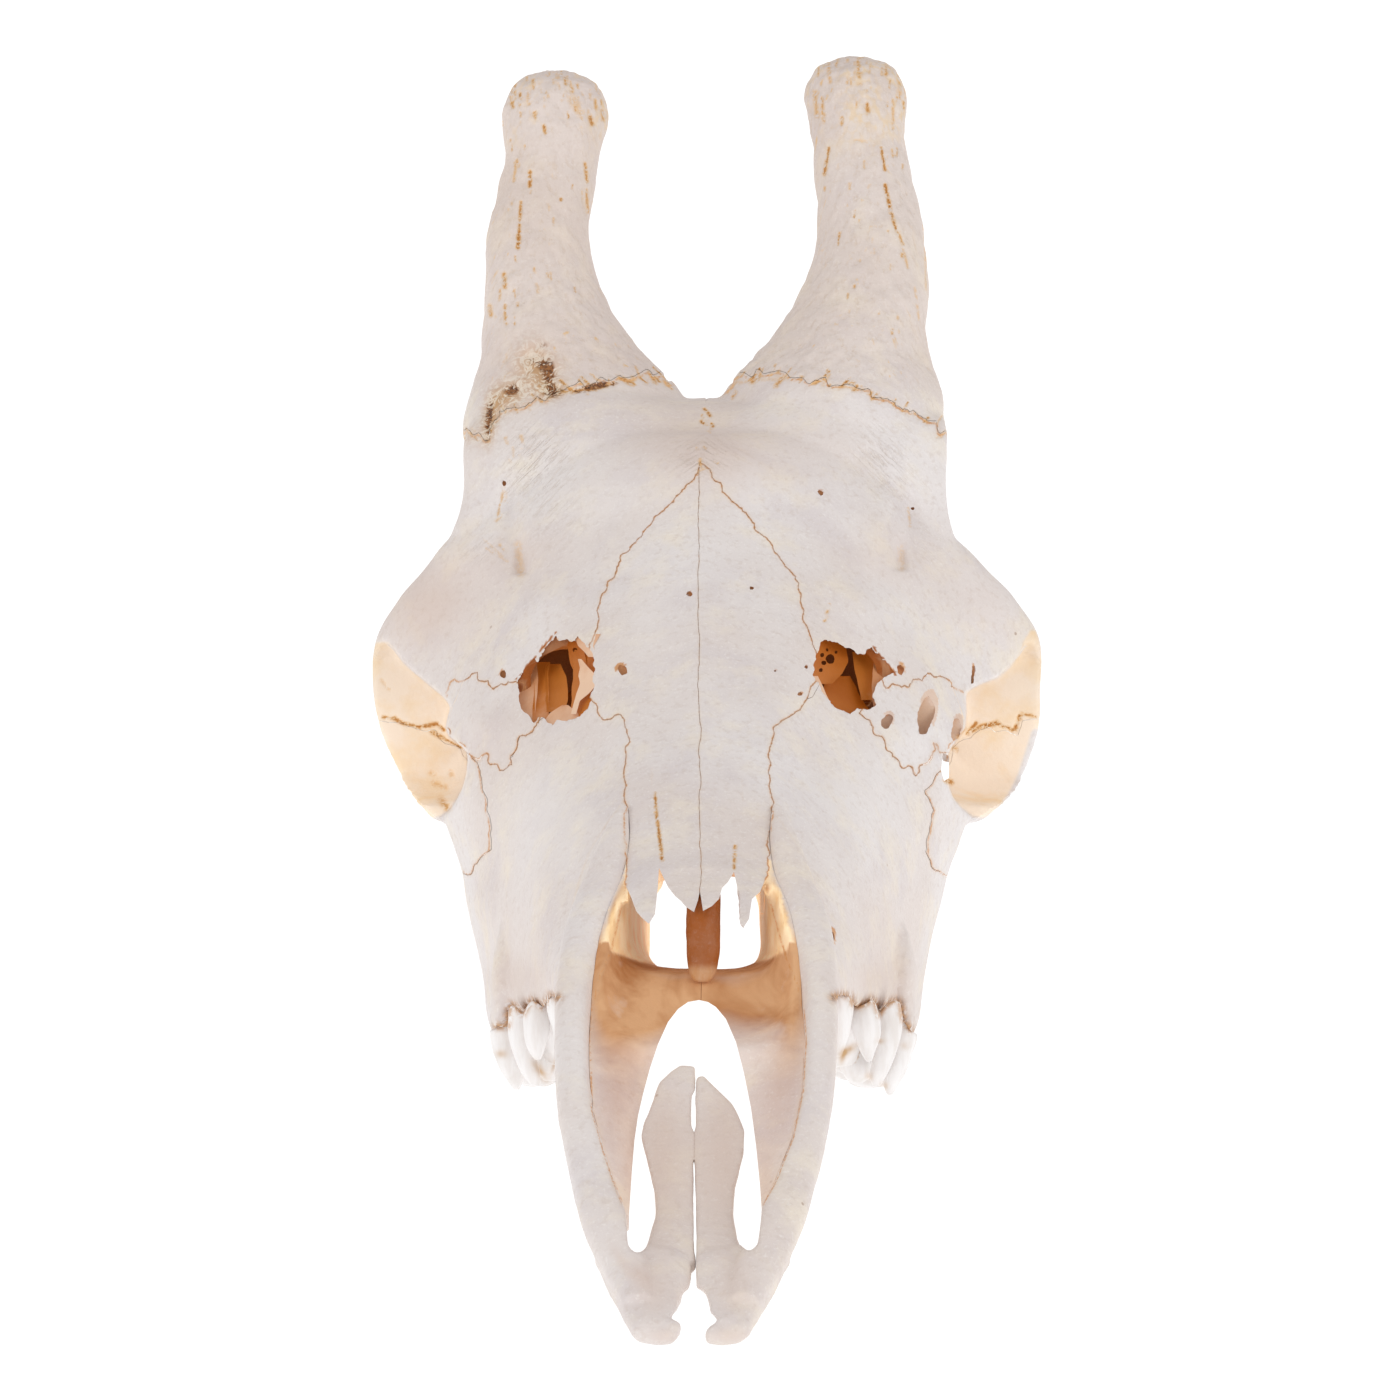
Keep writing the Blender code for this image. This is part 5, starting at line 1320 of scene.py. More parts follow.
def cut_bones(whole):
    """Cuts the openings and parts every bone off the whole skull, front bones first."""
    planes, pits = cut_openings(whole)
    bones = {"lamellae_" + label: lamellae(label, planes[label]) for label, _ in SIDES}
    for label, side in SIDES:
        combine(whole, [premaxilla_solid(label, side, GAP + 0.2)], "DIFFERENCE")
    for label, _ in SIDES:
        outline = nasal_outline(label)
        core, grown_core = roof_core("core", 5.0), roof_core("core", 5.0 + GAP)
        block = combine(seam_block("nasal", outline, *REACH["nasal"]), [core], "DIFFERENCE")
        grown = combine(seam_block("nasal", outline, *REACH["nasal"], GAP), [grown_core], "DIFFERENCE")
        bones["nasal_" + label] = part_off(whole, "nasal_" + label, block, grown)
    combine(whole, [seam_block("front", NASAL_FRONT, *REACH["nasal_front"])], "DIFFERENCE")
    for label, side in SIDES:
        horn_edge = np.vstack([suture("ossicone", label), OSSICONE_EDGE[label][SUTURE_PLACES:]])
        for kind, outline, slant in (
                ("lacrimal", suture("lacrimal", label), None),
                ("zygomatic", suture("zygomatic", label), (side * 12, 8, 1535)),
                ("maxilla", MAXILLA_EDGE[label], MAXILLA_SLANT), ("ossicone", horn_edge, OSSICONE_SLANT)):
            bones[kind + "_" + label] = part_behind(whole, kind, label, outline, slant)
    bones["cranium"] = keep_largest(whole)
    return bones, planes, pits


def opening_distance(label, plane):
    """How far from the eye the middle of one side's opening lies."""
    return plane @ (1, *np.mean(FENESTRA[label], axis=0))


def sinus(label, depth):
    """Middle and half sizes of the hollow behind one side's opening."""
    x, y = np.mean(FENESTRA[label], axis=0)
    return behind((x + SINUS_SHIFT[label], y), depth + SINUS_DEPTH)[0], SINUS_SIZE


def surface_distance(whole, cx, cy):
    """How far from the eye the skull's surface lies behind a picture place."""
    near, far = (Vector(p * MM) for p in (behind((cx, cy), 900)[0], behind((cx, cy), 1900)[0]))
    found, place, _, _ = whole.ray_cast(near, (far - near).normalized())
    return float((np.array(place) / MM - EYE_POINT) @ FORWARD) if found else 1500.0


def premaxilla_solid(label, side, grow):
    """One side's nasal bar, front body and palatal process, trimmed to their outline in the front view."""
    bone = oval_loft("premaxilla_" + label, BAR_ROWS, side, power=2.3, grow=grow)
    combine(bone, [oval_loft("front_body", FRONT_BODY_ROWS, side, power=2.6, grow=grow),
                   oval_loft("palatal_process", PROCESS_ROWS, side, power=2.6, grow=grow)], "UNION")
    return combine(bone, [seam_block("trim", PREMAXILLA_EDGE[label], *REACH["premaxilla"], grow)], "INTERSECT")


def premaxilla(label, side):
    """One premaxilla, softened, with a faint grain and a rough tip."""
    bone = premaxilla_solid(label, side, 0.25)
    refine(keep_largest(bone), FRONT_FINE, 3)
    points, normals = points_of(bone), normals_of(bone)
    rise = 0.18 * noise(points, 9.0, 21) + 0.08 * noise(points, 3.0, 22)
    tip = smooth_step(8 - points[:, 1], 0, 6)
    rise += tip * (0.35 * noise(points, 3.2, 23) + 0.3)
    place_points(bone, points + normals * rise[:, None])
    return bone


def crown(distance, half, rows, around=40):
    """An outer crown: superellipse rings across the front view, whose depth swells and shrinks with their width."""
    rows = np.asarray(rows, float)
    down = places_between(rows[:, 0], 6)
    left, right = read_between(rows[:, 0], rows[:, 1:], down).T
    wide = (right - left) / 2 + 0.9
    deep = half * np.clip(wide / wide.max(), 0.25, 1) ** 0.8
    flat, back = superellipse(around, 0.85, 0.9)
    x = ((left + right) / 2)[:, None] + wide[:, None] * flat
    depth = distance + deep[:, None] * back
    places = np.stack([x, np.repeat(down[:, None], around, 1)], axis=2)
    return closed_solid("crown", behind(places.reshape(-1, 2), depth.reshape(-1, 1)).reshape(len(down), around, 3))


def tooth_rings(side, y, outer, gum, tip, half, around=56):
    """A tooth's inner body: superellipse rings from the root to the worn edge."""
    t = np.linspace(0, 1, 30)
    z = gum + 10 - t * (gum + 10 - tip)
    down = np.clip((gum - z) / (gum - tip), -1, 1)
    levels = (-1, 0, 0.35, 0.75, 0.95, 1)
    wide = np.interp(down, levels, (6.0, 8.4, 9.0, 8.4, 6.8, 5.0))
    long = half * np.interp(down, levels, (0.7, 0.9, 1.05, 0.98, 0.8, 0.62))
    centre = outer - TOOTH_WIDTH / 2 - 2.2 - np.interp(down, (0, 0.4, 0.8, 1), (0, 0.4, 1.6, 1.0))
    flat, deep = superellipse(around, 0.77)
    return np.stack([side * (centre[:, None] + np.outer(wide, flat)), y + np.outer(long, deep),
                     np.repeat(z[:, None], around, 1)], axis=2)


def teeth(label, side):
    """One side's cheek teeth: an inner body for each lobe, the outer crowns, and a worn pit in each lobe."""
    places, tips = [tooth[0] for tooth in CHEEK_TEETH], [tooth[3] for tooth in CHEEK_TEETH]
    lobes, pits = [], []
    for y, outer, gum, _, length, count in CHEEK_TEETH:
        half = length / count / 2
        for k in range(count):
            middle = y + (k - (count - 1) / 2) * length / count
            tip = float(np.interp(middle, places, tips)) + 1.2
            lobes.append(closed_solid("lobe", tooth_rings(side, middle, outer, gum, tip, half)))
            pits.append(ball("pit", (outer - TOOTH_WIDTH / 2 - 3.5, middle, tip), (3.4, half * 0.42, 2.6), side))
    row = combine(lobes[0], lobes[1:], "UNION")
    combine(row, pits, "DIFFERENCE")
    combine(row, [crown(*entry) for entry in CROWNS[label]], "UNION")
    edge = [(x, y - 0.9) for x, y in GUM_EDGE[label][1:-1]] + list(ABOVE_TEETH[label])
    combine(row, [seam_block("above", edge, *REACH["above_teeth"])], "DIFFERENCE")
    refine(row, TOOTH_FINE, 1)
    points, normals = points_of(row), normals_of(row)
    grain = points * np.array([1.0, 1.0, 0.3])
    place_points(row, points + normals * (0.14 * noise(grain, 2.2, 51) + 0.2 * noise(grain, 6.0, 52))[:, None])
    row.name = "teeth_" + label
    return row


def vomer():
    """The middle wall of the nose: an oval blade with a bevelled front end, inside the passage."""
    blade = oval_loft("vomer", VOMER_ROWS, around=60, power=3.0)
    room = combine(oval_loft("room", PASSAGE_ROWS, around=96, power=4.0, grow=-0.6),
                   [oval_loft("front_room", ((120, 1.5, 76, 12, 22, 0), (152, 1.5, 76, 12, 18.6, 0)))], "UNION")
    combine(blade, [room], "INTERSECT")
    refine(keep_largest(blade), VOMER_FINE, 2)
    points, normals = points_of(blade), normals_of(blade)
    place_points(blade, points + normals * (0.25 * noise(points, 5.0, 31))[:, None])
    return blade


def mark(thing, name, values):
    """Keeps one number for each point of a mesh, for its material to read."""
    layer = thing.data.attributes.new(name, "FLOAT", "POINT")
    layer.data.foreach_set("value", np.ascontiguousarray(values, dtype=np.float32))


def hollow_marks(thing, points):
    """How hollow the surface is at each point: the mean of its neighbours against its normal."""
    a, b = edge_ends(thing)
    size = len(points)
    count = np.maximum(np.bincount(a, minlength=size) + np.bincount(b, minlength=size), 1)
    value = points
    for _ in range(6):
        value = np.stack([np.bincount(a, value[b, k], size) + np.bincount(b, value[a, k], size)
                          for k in range(3)], axis=1) / count[:, None]
    return np.clip(np.sum((value - points) * normals_of(thing), axis=1), -2, 2)


def seam_distance(points, px, py):
    """Distance in the front view from the nearest suture on the same side, longer where a suture fades fast."""
    seam = np.full(len(points), SEAM_REACH)
    for label, side in SIDES:
        near = side * points[:, 0] > -8
        lines = [(suture(kind, label), fading) for kind, fading in SEAM_FADING.items()]
        lines += [(np.array(edge, float), fading) for edge, fading in zip(BAR_EDGE[label], BAR_FADING)]
        for line, fading in lines:
            away = line_distance(px, py, line, SEAM_REACH) * fading + (fading - 1)
            seam = np.where(near, np.minimum(seam, away), seam)
    return seam


def gum_distance(label, px, py):
    """Distance in the front view from the edge of one side's tooth sockets."""
    return line_distance(px, py, np.array(GUM_EDGE[label][3:-1], float), 20.0)


def orbit_marks(points, normals, px, py):
    """How much each point belongs to the inside of an eye socket, whose cream is partly painted light through its
    thin walls, and which ones show inside its rim.
    """
    facing = -normals @ FORWARD
    x, y, z = points.T
    eye = np.stack([np.abs(x), y, z], axis=1) - ORBIT_MIDDLE
    socket = np.sum((eye / ORBIT_SIZE) ** 2, axis=1)
    same = np.ones(len(points))
    inward = -np.sum(eye * normals * np.stack([np.where(x > 0, 1.0, -1.0), same, same], axis=1), axis=1)
    inward /= np.linalg.norm(eye, axis=1)
    orbit = smooth_step(1.5 - socket, 0, 0.35) * smooth_step(inward, 0.05, 0.4)
    clear = np.zeros(len(points), dtype=bool)
    for label, side in SIDES:
        shown = (side * x > 60) & (y > 290) & (y < 420) & (z > 63) & (facing > -0.25)
        inside = within(px, py, SOCKET[label])
        turned_away = smooth_step(facing + 0.35 * (py > 770), 0.08, 0.3)
        orbit = np.where(shown, smooth_step(inside, -1.5, 2.5) * turned_away, orbit)
        clear |= shown & (inside > -1)
    orbit *= smooth_step(line_distance(px, py, np.array(OUTER_RIM, float), 20.0), 3.0, 7.0)
    return orbit, clear


def opening_marks(points, normals, planes):
    """Where bone lies inside the two openings above the face, which gets painted shade and an emission of painted
    light, and how deep its painted orange shade is there.
    """
    px, py, depth = picture(points)
    inner, deep = np.zeros(len(points)), np.zeros(len(points))
    for label, _ in SIDES:
        plane = planes[label]
        middle = opening_distance(label, plane)
        centre, size = sinus(label, middle)
        bottom = np.abs(depth - middle - OPENING_DEPTH) < 0.3
        away = (points - centre) / np.array(size)
        reach = np.sum(away**2, axis=1)
        sunk = depth - plane[0] - plane[1] * px - plane[2] * py
        inside = within(px, py, FENESTRA[label])
        hollow = (reach < 1.4) & (np.sum(away * normals, axis=1) < 0.05)
        hollow |= ((sunk < 45) & (np.abs(points[:, 0]) < 72) & (reach < 6)
                   & ((inside > 1) & (sunk > -16) | (inside > -3) & ((sunk > 1.6) | bottom)))
        inner = np.maximum(inner, hollow)
        shade = np.maximum(smooth_step(inside, 1, 4), bottom)
        deep = np.maximum(deep, hollow * np.maximum(smooth_step(sunk, 1, 8), shade))
    return inner, deep


def pit_marks(px, py, depth, pits):
    """Painted warm shade and emission on the walls of the small openings, half as strong in the wide ones beside the
    left socket.
    """
    inner = np.zeros(len(px))
    for cx, cy, rx, ry, turn, hit in pits:
        x, y = turned(px, py, cx, cy, turn)
        strength = 0.5 if rx >= 5 and cx > 800 else 1.0
        sunk = smooth_step(depth, hit + 0.4, hit + 1.6) * (depth < hit + HOLE_LEAD)
        inner = np.maximum(inner, strength * (np.hypot(x / rx, y / ry) < 1.35) * sunk)
    return inner


def nose_marks(points, normals, px, py, inner):
    """Painted warm shade in and round the nose's passage, a faint emission of painted light on its floor, and painted
    light on the ledges at the sides of that floor.
    """
    x, y, z = points.T
    rows = np.asarray(PASSAGE_ROWS, float)
    _, _, height, wide, tall, _ = (np.interp(y, rows[:, 0], column) for column in rows.T)
    reach = (x / (wide + 3)) ** 4 + ((z - height) / (tall + 3)) ** 4
    reach += smooth_step(y, 400, 420)
    inner = np.maximum(inner, smooth_step(1.3 - reach, 0, 0.3) * smooth_step(y, 138, 150))
    inside = (y < 178) & (np.abs(x) < 36)
    inner = np.maximum(inner, limited_spots(px, py, NOSE_SHADE_SPOTS) * inside)
    nose = inside * smooth_step(py, 1010, 1060) * (1 - 0.5 * inner)
    crest = np.interp(px, *np.asarray(FLOOR_CREST, float).T)
    # Painted light: the ledges beside the floor's crest are coloured light cream and given an emission
    lit = smooth_step(crest - py, -1, 3) * (y > 142) * (np.abs(x) < 30) * (py > 860)
    lit *= smooth_step(np.abs(px - MIDDLE), 30, 42) * smooth_step(16 - x * normals[:, 0], 0, 12)
    return inner, nose, lit


def hair_places(px, py):
    """Places across and along the hairs: leaning inwards on both sides of the brow, upright in its middle."""
    slope = math.sqrt(0.5)
    lean = np.where(px < 620, slope, -slope)
    outer = (px < 620) | (px > 790)
    across = np.where(outer, lean * px + slope * py, py - 0.6 * np.abs(px - 703))
    return across, np.where(outer, lean * px - slope * py, px)


def mark_bone(name, thing, planes, pits):
    """Marks sutures, stains, streaks, broken crust and hairs on one bone, and where shade and light are painted: in
    hollows, openings, pits, the nose and the eye sockets.
    """
    points, normals = points_of(thing), normals_of(thing)
    px, py, depth = picture(points)
    facing = -normals @ FORWARD
    front = smooth_step(facing, -0.3, 0.2) * smooth_step(front_limit(points) - points[:, 1], 0, 20)
    orbit, clear = orbit_marks(points, normals, px, py)
    seam = np.where(clear, SEAM_REACH, SEAM_REACH - (SEAM_REACH - seam_distance(points, px, py)) * front)
    inner, deep = opening_marks(points, normals, planes)
    inner = np.maximum(inner, pit_marks(px, py, depth, pits))
    nose, lit, stain = np.zeros(len(points)), np.zeros(len(points)), np.zeros(len(points))
    if name.startswith(("maxilla", "cranium", "vomer")):
        inner, nose, lit = nose_marks(points, normals, px, py, inner)
    if name == "vomer":
        # Painted light on the vomer's lower front end
        lit = 0.35 * smooth_step(py, 962, 972)
    for label, _ in SIDES:
        gum = np.exp(-(gum_distance(label, px, py) / 5.0) ** 2)
        stain = np.maximum(stain, gum * (points[:, 1] < 330) * (facing > -0.2))
    horn = smooth_step(points[:, 2], 205, 225)
    warm = np.where(points[:, 0] > 0, 0.3, 0.45) * horn + spots(px, py, WARM) * front
    across, along = hair_places(px, py)
    marks = {
        "hair_across": across,
        "hair_along": along,
        "hair": limited_spots(px, py, HAIRS) * front,
        "warm": np.clip(warm, 0, 1),
        "pale": limited_spots(px, py, PAINTED_LIGHT_SPOTS) * front,
        # Painted light: an emission that stands for light shining through thin bone inside the openings and the nose,
        # on the nose's ledges and floor, and in the eye sockets, stronger low in the sockets
        "painted_glow": (0.13 * inner * (1 - 0.5 * deep) + 0.2 * lit + 0.1 * nose
                 + orbit * (0.02 + 0.12 * smooth_step(py, 670, 740))),
        "seam": seam,
        "streak": streaks(px, py) * front,
        "crust": limited_spots(px, py, CRUST) * front,
        "crust_dark": limited_spots(px, py, CRUST_DARK) * front,
        "inner": inner,
        "lit": lit,
        "stain": stain,
        "deep": deep,
        "orbit": orbit,
        "horn": horn,
        "knob": smooth_step(points[:, 2], 290, 312),
        "hollow": hollow_marks(thing, points),
    }
    for key, values in marks.items():
        mark(thing, key, values)


class Nodes:
    """Short calls for building a material's node tree."""

    def __init__(self, name):
        self.material = bpy.data.materials.new(name)
        self.material.use_nodes = True
        self.material.cycles.emission_sampling = "NONE"
        self.tree = self.material.node_tree
        self.shader = self.tree.nodes["Principled BSDF"]

    def add(self, kind, values=(), **settings):
        node = self.tree.nodes.new(kind)
        for key, value in settings.items():
            setattr(node, key, value)
        for key, value in dict(values).items():
            self.put(node.inputs[key], value)
        return node

    def put(self, socket, value):
        if isinstance(value, bpy.types.NodeSocket):
            self.tree.links.new(value, socket)
        else:
            socket.default_value = value

    def math(self, operation, *values):
        node = self.add("ShaderNodeMath", operation=operation)
        for socket, value in zip(node.inputs, values):
            self.put(socket, value)
        return node.outputs[0]

    def times(self, first, second):
        return self.math("MULTIPLY", first, second)

    def plus(self, first, second):
        return self.math("ADD", first, second)

    def minus(self, first, second):
        return self.math("SUBTRACT", first, second)

    def mix(self, amount, low, high):
        node = self.add("ShaderNodeMix", data_type="RGBA", clamp_factor=True)
        self.put(node.inputs[0], amount)
        self.put(node.inputs[6], low)
        self.put(node.inputs[7], high)
        return node.outputs[2]

    def ramp(self, value, low, high):
        node = self.add("ShaderNodeMapRange", {0: value, 1: low, 2: high}, clamp=True)
        return node.outputs[0]

    def noise(self, place, scale, detail=3.0, rough=0.55, twist=0.0):
        node = self.add("ShaderNodeTexNoise", {"Vector": place, "Scale": scale, "Detail": detail,
                                               "Roughness": rough, "Distortion": twist})
        return node.outputs[0]

    def mark(self, name):
        return self.add("ShaderNodeAttribute", attribute_name=name).outputs["Fac"]

    def stretched(self, place, scale):
        return self.add("ShaderNodeVectorMath", {0: place, 1: scale}, operation="MULTIPLY").outputs[0]

    def cells(self, place, scale):
        return self.add("ShaderNodeTexVoronoi", {"Vector": place, "Scale": scale}).outputs[0]

    def finish(self, ground, painted_glow, rough, shine, bump):
        """The material from its ground, painted_glow (an emission that paints light), roughness, shine and bump
        (strength, distance, height).
        """
        inputs = self.shader.inputs
        self.put(inputs["Base Color"], ground)
        self.put(inputs["Emission Color"], ground)
        self.put(inputs["Emission Strength"], painted_glow)
        inputs["Roughness"].default_value = rough
        inputs["Specular IOR Level"].default_value = shine
        relief = self.add("ShaderNodeBump", dict(zip(("Strength", "Distance", "Height"), bump)))
        self.put(inputs["Normal"], relief.outputs[0])
        return self.material


def colour(red, green, blue):
    """A picture colour of 0 to 255 as the shader's linear colour."""
    return tuple(((c / 255 + 0.055) / 1.055) ** 2.4 if c > 10 else c / 3294.6 for c in (red, green, blue)) + (1.0,)


def bone_surface(name, pale, pink, mottle=1.0, horn=False):
    """Dry bone: mottled ground, painted warm shade in hollows, brown sutures and streaks, and a horn's threads and
    cells or the hairs of the face with painted shade and emission in its openings and painted light in its eye
    sockets and nose.
    """
    n = Nodes(name)
    place = n.add("ShaderNodeTexCoord").outputs["Object"]
    broad = n.noise(place, 14.0, 3.0, 0.5)
    cloud = n.noise(place, 34.0, 4.0, 0.6, 0.6)
    blotch = n.noise(place, 60.0, 4.0, 0.6)
    fine = n.noise(place, 420.0, 4.0, 0.6)
    ragged = n.noise(place, 900.0, 3.0, 0.6)
    ground = n.mix(n.ramp(broad, 0.38, 0.64), pale, pink)
    for value, low, high, amount, tint in (
            (cloud, 0.5, 0.68, 0.5, (216, 207, 208)), (blotch, 0.5, 0.7, 0.6, (241, 230, 212)),
            (fine, 0.52, 0.74, 0.5, (209, 195, 186)), (ragged, 0.56, 0.72, 0.45, (246, 242, 238))):
        ground = n.mix(n.times(n.ramp(value, low, high), amount * mottle), ground, colour(*tint))
    # Painted light: places lightened to offset their shade
    ground = n.mix(n.times(n.mark("pale"), 0.7), ground, colour(246, 241, 238))
    ground = n.mix(n.times(n.mark("warm"), 0.75), ground, colour(214, 190, 175))
    height = n.plus(n.times(fine, 0.5), n.times(ragged, 0.25))
    if horn:
        upright = n.stretched(place, (1.0, 1.0, 0.13))
        thread = n.noise(upright, 420.0, 4.0, 0.65)
        threads = n.times(n.ramp(thread, 0.55, 0.72), n.mark("horn"))
        ground = n.mix(n.times(threads, 0.4), ground, colour(214, 190, 164))
        few = n.times(n.ramp(n.noise(upright, 250.0, 3.0, 0.6), 0.64, 0.72), n.mark("horn"))
        ground = n.mix(n.times(few, n.ramp(cloud, 0.44, 0.6)), ground, colour(228, 190, 138))
        cells = n.ramp(n.cells(n.stretched(place, (1, 1, 0.62)), 400.0), 0.48, 0.7)
        border = n.times(cells, n.times(n.mark("knob"), 0.5))
        ground = n.mix(n.times(border, n.ramp(blotch, 0.42, 0.62)), ground, colour(232, 200, 150))
        height = n.minus(height, n.times(border, 0.25))
        height = n.minus(height, n.times(threads, 0.22))
    else:
        # Eye sockets: cream inside, partly painted light shining through the thin walls
        cream = n.mix(n.ramp(blotch, 0.45, 0.75), colour(242, 224, 204), colour(238, 209, 168))
        ground = n.mix(n.mark("orbit"), ground, cream)
        # Painted shade: bone inside the openings, the pits and the nose's passage turns brown
        inner = n.times(n.mark("inner"), n.ramp(blotch, -0.1, 0.4))
        brown = n.mix(n.ramp(cloud, 0.4, 0.6), colour(212, 164, 120), colour(174, 114, 66))
        ground = n.mix(n.times(inner, 1.0 if mottle > 0.5 else 0.0), ground, brown)
        # Painted light: light cream with folds on the nose's ledges
        folds = n.ramp(n.noise(n.stretched(place, (1.0, 0.2, 0.2)), 420.0, 3.0, 0.6), 0.4, 0.62)
        lit = n.mix(folds, colour(245, 221, 182), colour(232, 196, 146))
        ground = n.mix(n.times(n.mark("lit"), 0.92), ground, lit)
        # Painted shade: the deepest parts of the openings turn deep orange
        deep = n.mix(n.ramp(blotch, 0.4, 0.6), colour(150, 76, 6), colour(178, 100, 26))
        ground = n.mix(n.mark("deep"), ground, deep)
        # Painted shade: concave bone is tinted tan, most in the deepest hollows
        hollow = n.ramp(n.mark("hollow"), 0.15, 1.2)
        ground = n.mix(n.times(hollow, 0.35), ground, colour(205, 168, 130))
        along = n.times(n.mark("hair_along"), 0.12)
        strand = n.add("ShaderNodeCombineXYZ", {0: n.mark("hair_across"), 1: along})
        hair = n.noise(strand.outputs[0], 0.42, 3.0, 0.6, 0.8)
        hairs = n.times(n.ramp(hair, 0.5, 0.72), n.mark("hair"))
        ground = n.mix(n.times(hairs, 0.5), ground, colour(214, 192, 170))
        stain = n.times(n.mark("stain"), n.ramp(fine, 0.38, 0.5))
        tartar = n.mix(n.ramp(ragged, 0.4, 0.6), colour(200, 146, 84), colour(140, 90, 46))
        ground = n.mix(n.times(stain, 0.9), ground, tartar)
        speck = n.ramp(n.minus(0.07, n.cells(place, 90.0)), 0.0, 0.03)
        speck = n.times(speck, n.ramp(blotch, 0.55, 0.66))
        ground = n.mix(n.times(speck, 0.6 * mottle), ground, colour(150, 112, 84))
        height = n.minus(height, n.times(hairs, 0.6))
    away = n.plus(n.mark("seam"), n.times(n.minus(ragged, 0.5), 2.4))
    halo = n.minus(1.0, n.ramp(away, 0.6, 5.5))
    halo = n.times(n.times(halo, halo), n.ramp(cloud, 0.3, 0.6))
    ground = n.mix(n.times(halo, 0.34), ground, colour(222, 194, 160))
    core = n.minus(1.0, n.ramp(away, 0.25, 1.35))
    core = n.times(core, n.ramp(fine, 0.3, 0.52))
    core = n.times(core, n.minus(1.0, n.mark("crust")))
    if horn:
        core = n.times(core, n.ramp(n.noise(place, 150.0, 3.0, 0.6), 0.4, 0.58))
    ground = n.mix(n.times(core, 0.9), ground, colour(186, 130, 78))
    streak = n.times(n.mark("streak"), n.times(n.ramp(ragged, 0.24, 0.5), n.ramp(fine, 0.34, 0.5)))
    ochre = n.mix(n.ramp(streak, 0.35, 0.85), colour(228, 186, 130), colour(188, 122, 56))
    ground = n.mix(n.ramp(streak, 0.06, 0.55), ground, ochre)
    broken = n.noise(place, 220.0, 5.0, 0.68, 2.2)
    crumb = n.mix(n.ramp(broken, 0.43, 0.53), colour(236, 220, 196), colour(198, 150, 94))
    ground = n.mix(n.times(n.mark("crust"), 0.9), ground, crumb)
    scorch = n.ramp(n.times(n.mark("crust_dark"), n.ramp(broken, 0.4, 0.56)), 0.2, 0.5)
    ground = n.mix(scorch, ground, n.mix(n.ramp(ragged, 0.42, 0.6), colour(158, 104, 58), colour(92, 58, 38)))
    height = n.minus(height, n.times(streak, 0.8))
    height = n.plus(height, n.times(n.mark("crust"), n.times(broken, 1.4)))
    # Painted light: the suture cores add an emission of 0.2 of their own on top of painted_glow
    return n.finish(ground, n.plus(n.mark("painted_glow"), n.times(core, 0.2)), 0.58, 0.35, (0.8, 0.0007, height))


def plate_surface():
    """The thin plates inside the openings: from pale pink to deep orange by tone, the deeper tones partly painted
    shade, with an emission as painted light shining through them.
    """
    n = Nodes("thin_plates")
    place = n.add("ShaderNodeTexCoord").outputs["Object"]
    blotch = n.noise(place, 120.0, 4.0, 0.6)
    tone = n.plus(n.mark("tone"), n.times(n.minus(blotch, 0.5), 0.35))
    pale = n.mix(n.ramp(tone, 0.05, 0.5), colour(216, 182, 154), colour(182, 108, 36))
    ground = n.mix(n.ramp(tone, 0.5, 0.95), pale, colour(164, 84, 4))
    # Painted light: an emission of 0.2 for light shining through the plates
    return n.finish(ground, 0.2, 0.6, 0.5, (0.4, 0.0005, blotch))


def tooth_surface():
    """Enamel: bright white with faint vertical lines and brown stain at the gum, and a faint emission of painted
    light.
    """
    n = Nodes("enamel")
    place = n.add("ShaderNodeTexCoord").outputs["Object"]
    lines = n.noise(n.stretched(place, (1.0, 1.0, 0.2)), 260.0, 4.0, 0.6)
    blotch = n.noise(place, 90.0, 3.0, 0.6)
    ground = n.mix(n.ramp(lines, 0.4, 0.7), colour(240, 237, 236), colour(228, 222, 218))
    stain = n.times(n.mark("gum"), n.ramp(n.noise(place, 420.0, 4.0, 0.6), 0.4, 0.54))
    ground = n.mix(n.times(stain, 0.85), ground, colour(190, 138, 80))
    worn = n.times(n.mark("worn"), n.ramp(blotch, 0.25, 0.5))
    ground = n.mix(worn, ground, colour(196, 158, 112))
    # Painted light: a faint emission that brightens the enamel as if light shone through it
    return n.finish(ground, 0.03, 0.3, 0.5, (0.35, 0.0005, lines))


def rest_matrix():
    """From the skull's own frame to the skull lying on the table."""
    turn = Matrix.Rotation(-TILT, 4, "X")
    centre = Vector((0.0, CENTRE_Y, 0.0)) * MM
    lowest = Vector((0.0, MOLAR_REST[0], MOLAR_REST[1])) * MM
    return Matrix.Translation((0.0, -(turn @ centre).y, -(turn @ lowest).z)) @ turn


def dress(thing, material, replaced, rest):
    """Lays a piece down, gives it its finish and ties it to the frame."""
    with edited(thing) as shape:
        bmesh.ops.remove_doubles(shape, verts=shape.verts, dist=0.03 * MM)
        bmesh.ops.dissolve_degenerate(shape, edges=shape.edges, dist=0.02 * MM)
    thing.data.transform(rest)
    thing.data.materials.clear()
    thing.data.materials.append(material)
    thing.data.shade_smooth()
    thing.data.set_sharp_from_angle(angle=math.radians(48))
    step = thing.modifiers.new("even_normals", "WEIGHTED_NORMAL")
    step.keep_sharp = True
    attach(thing, "root")
    if replaced:
        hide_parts(*replaced)


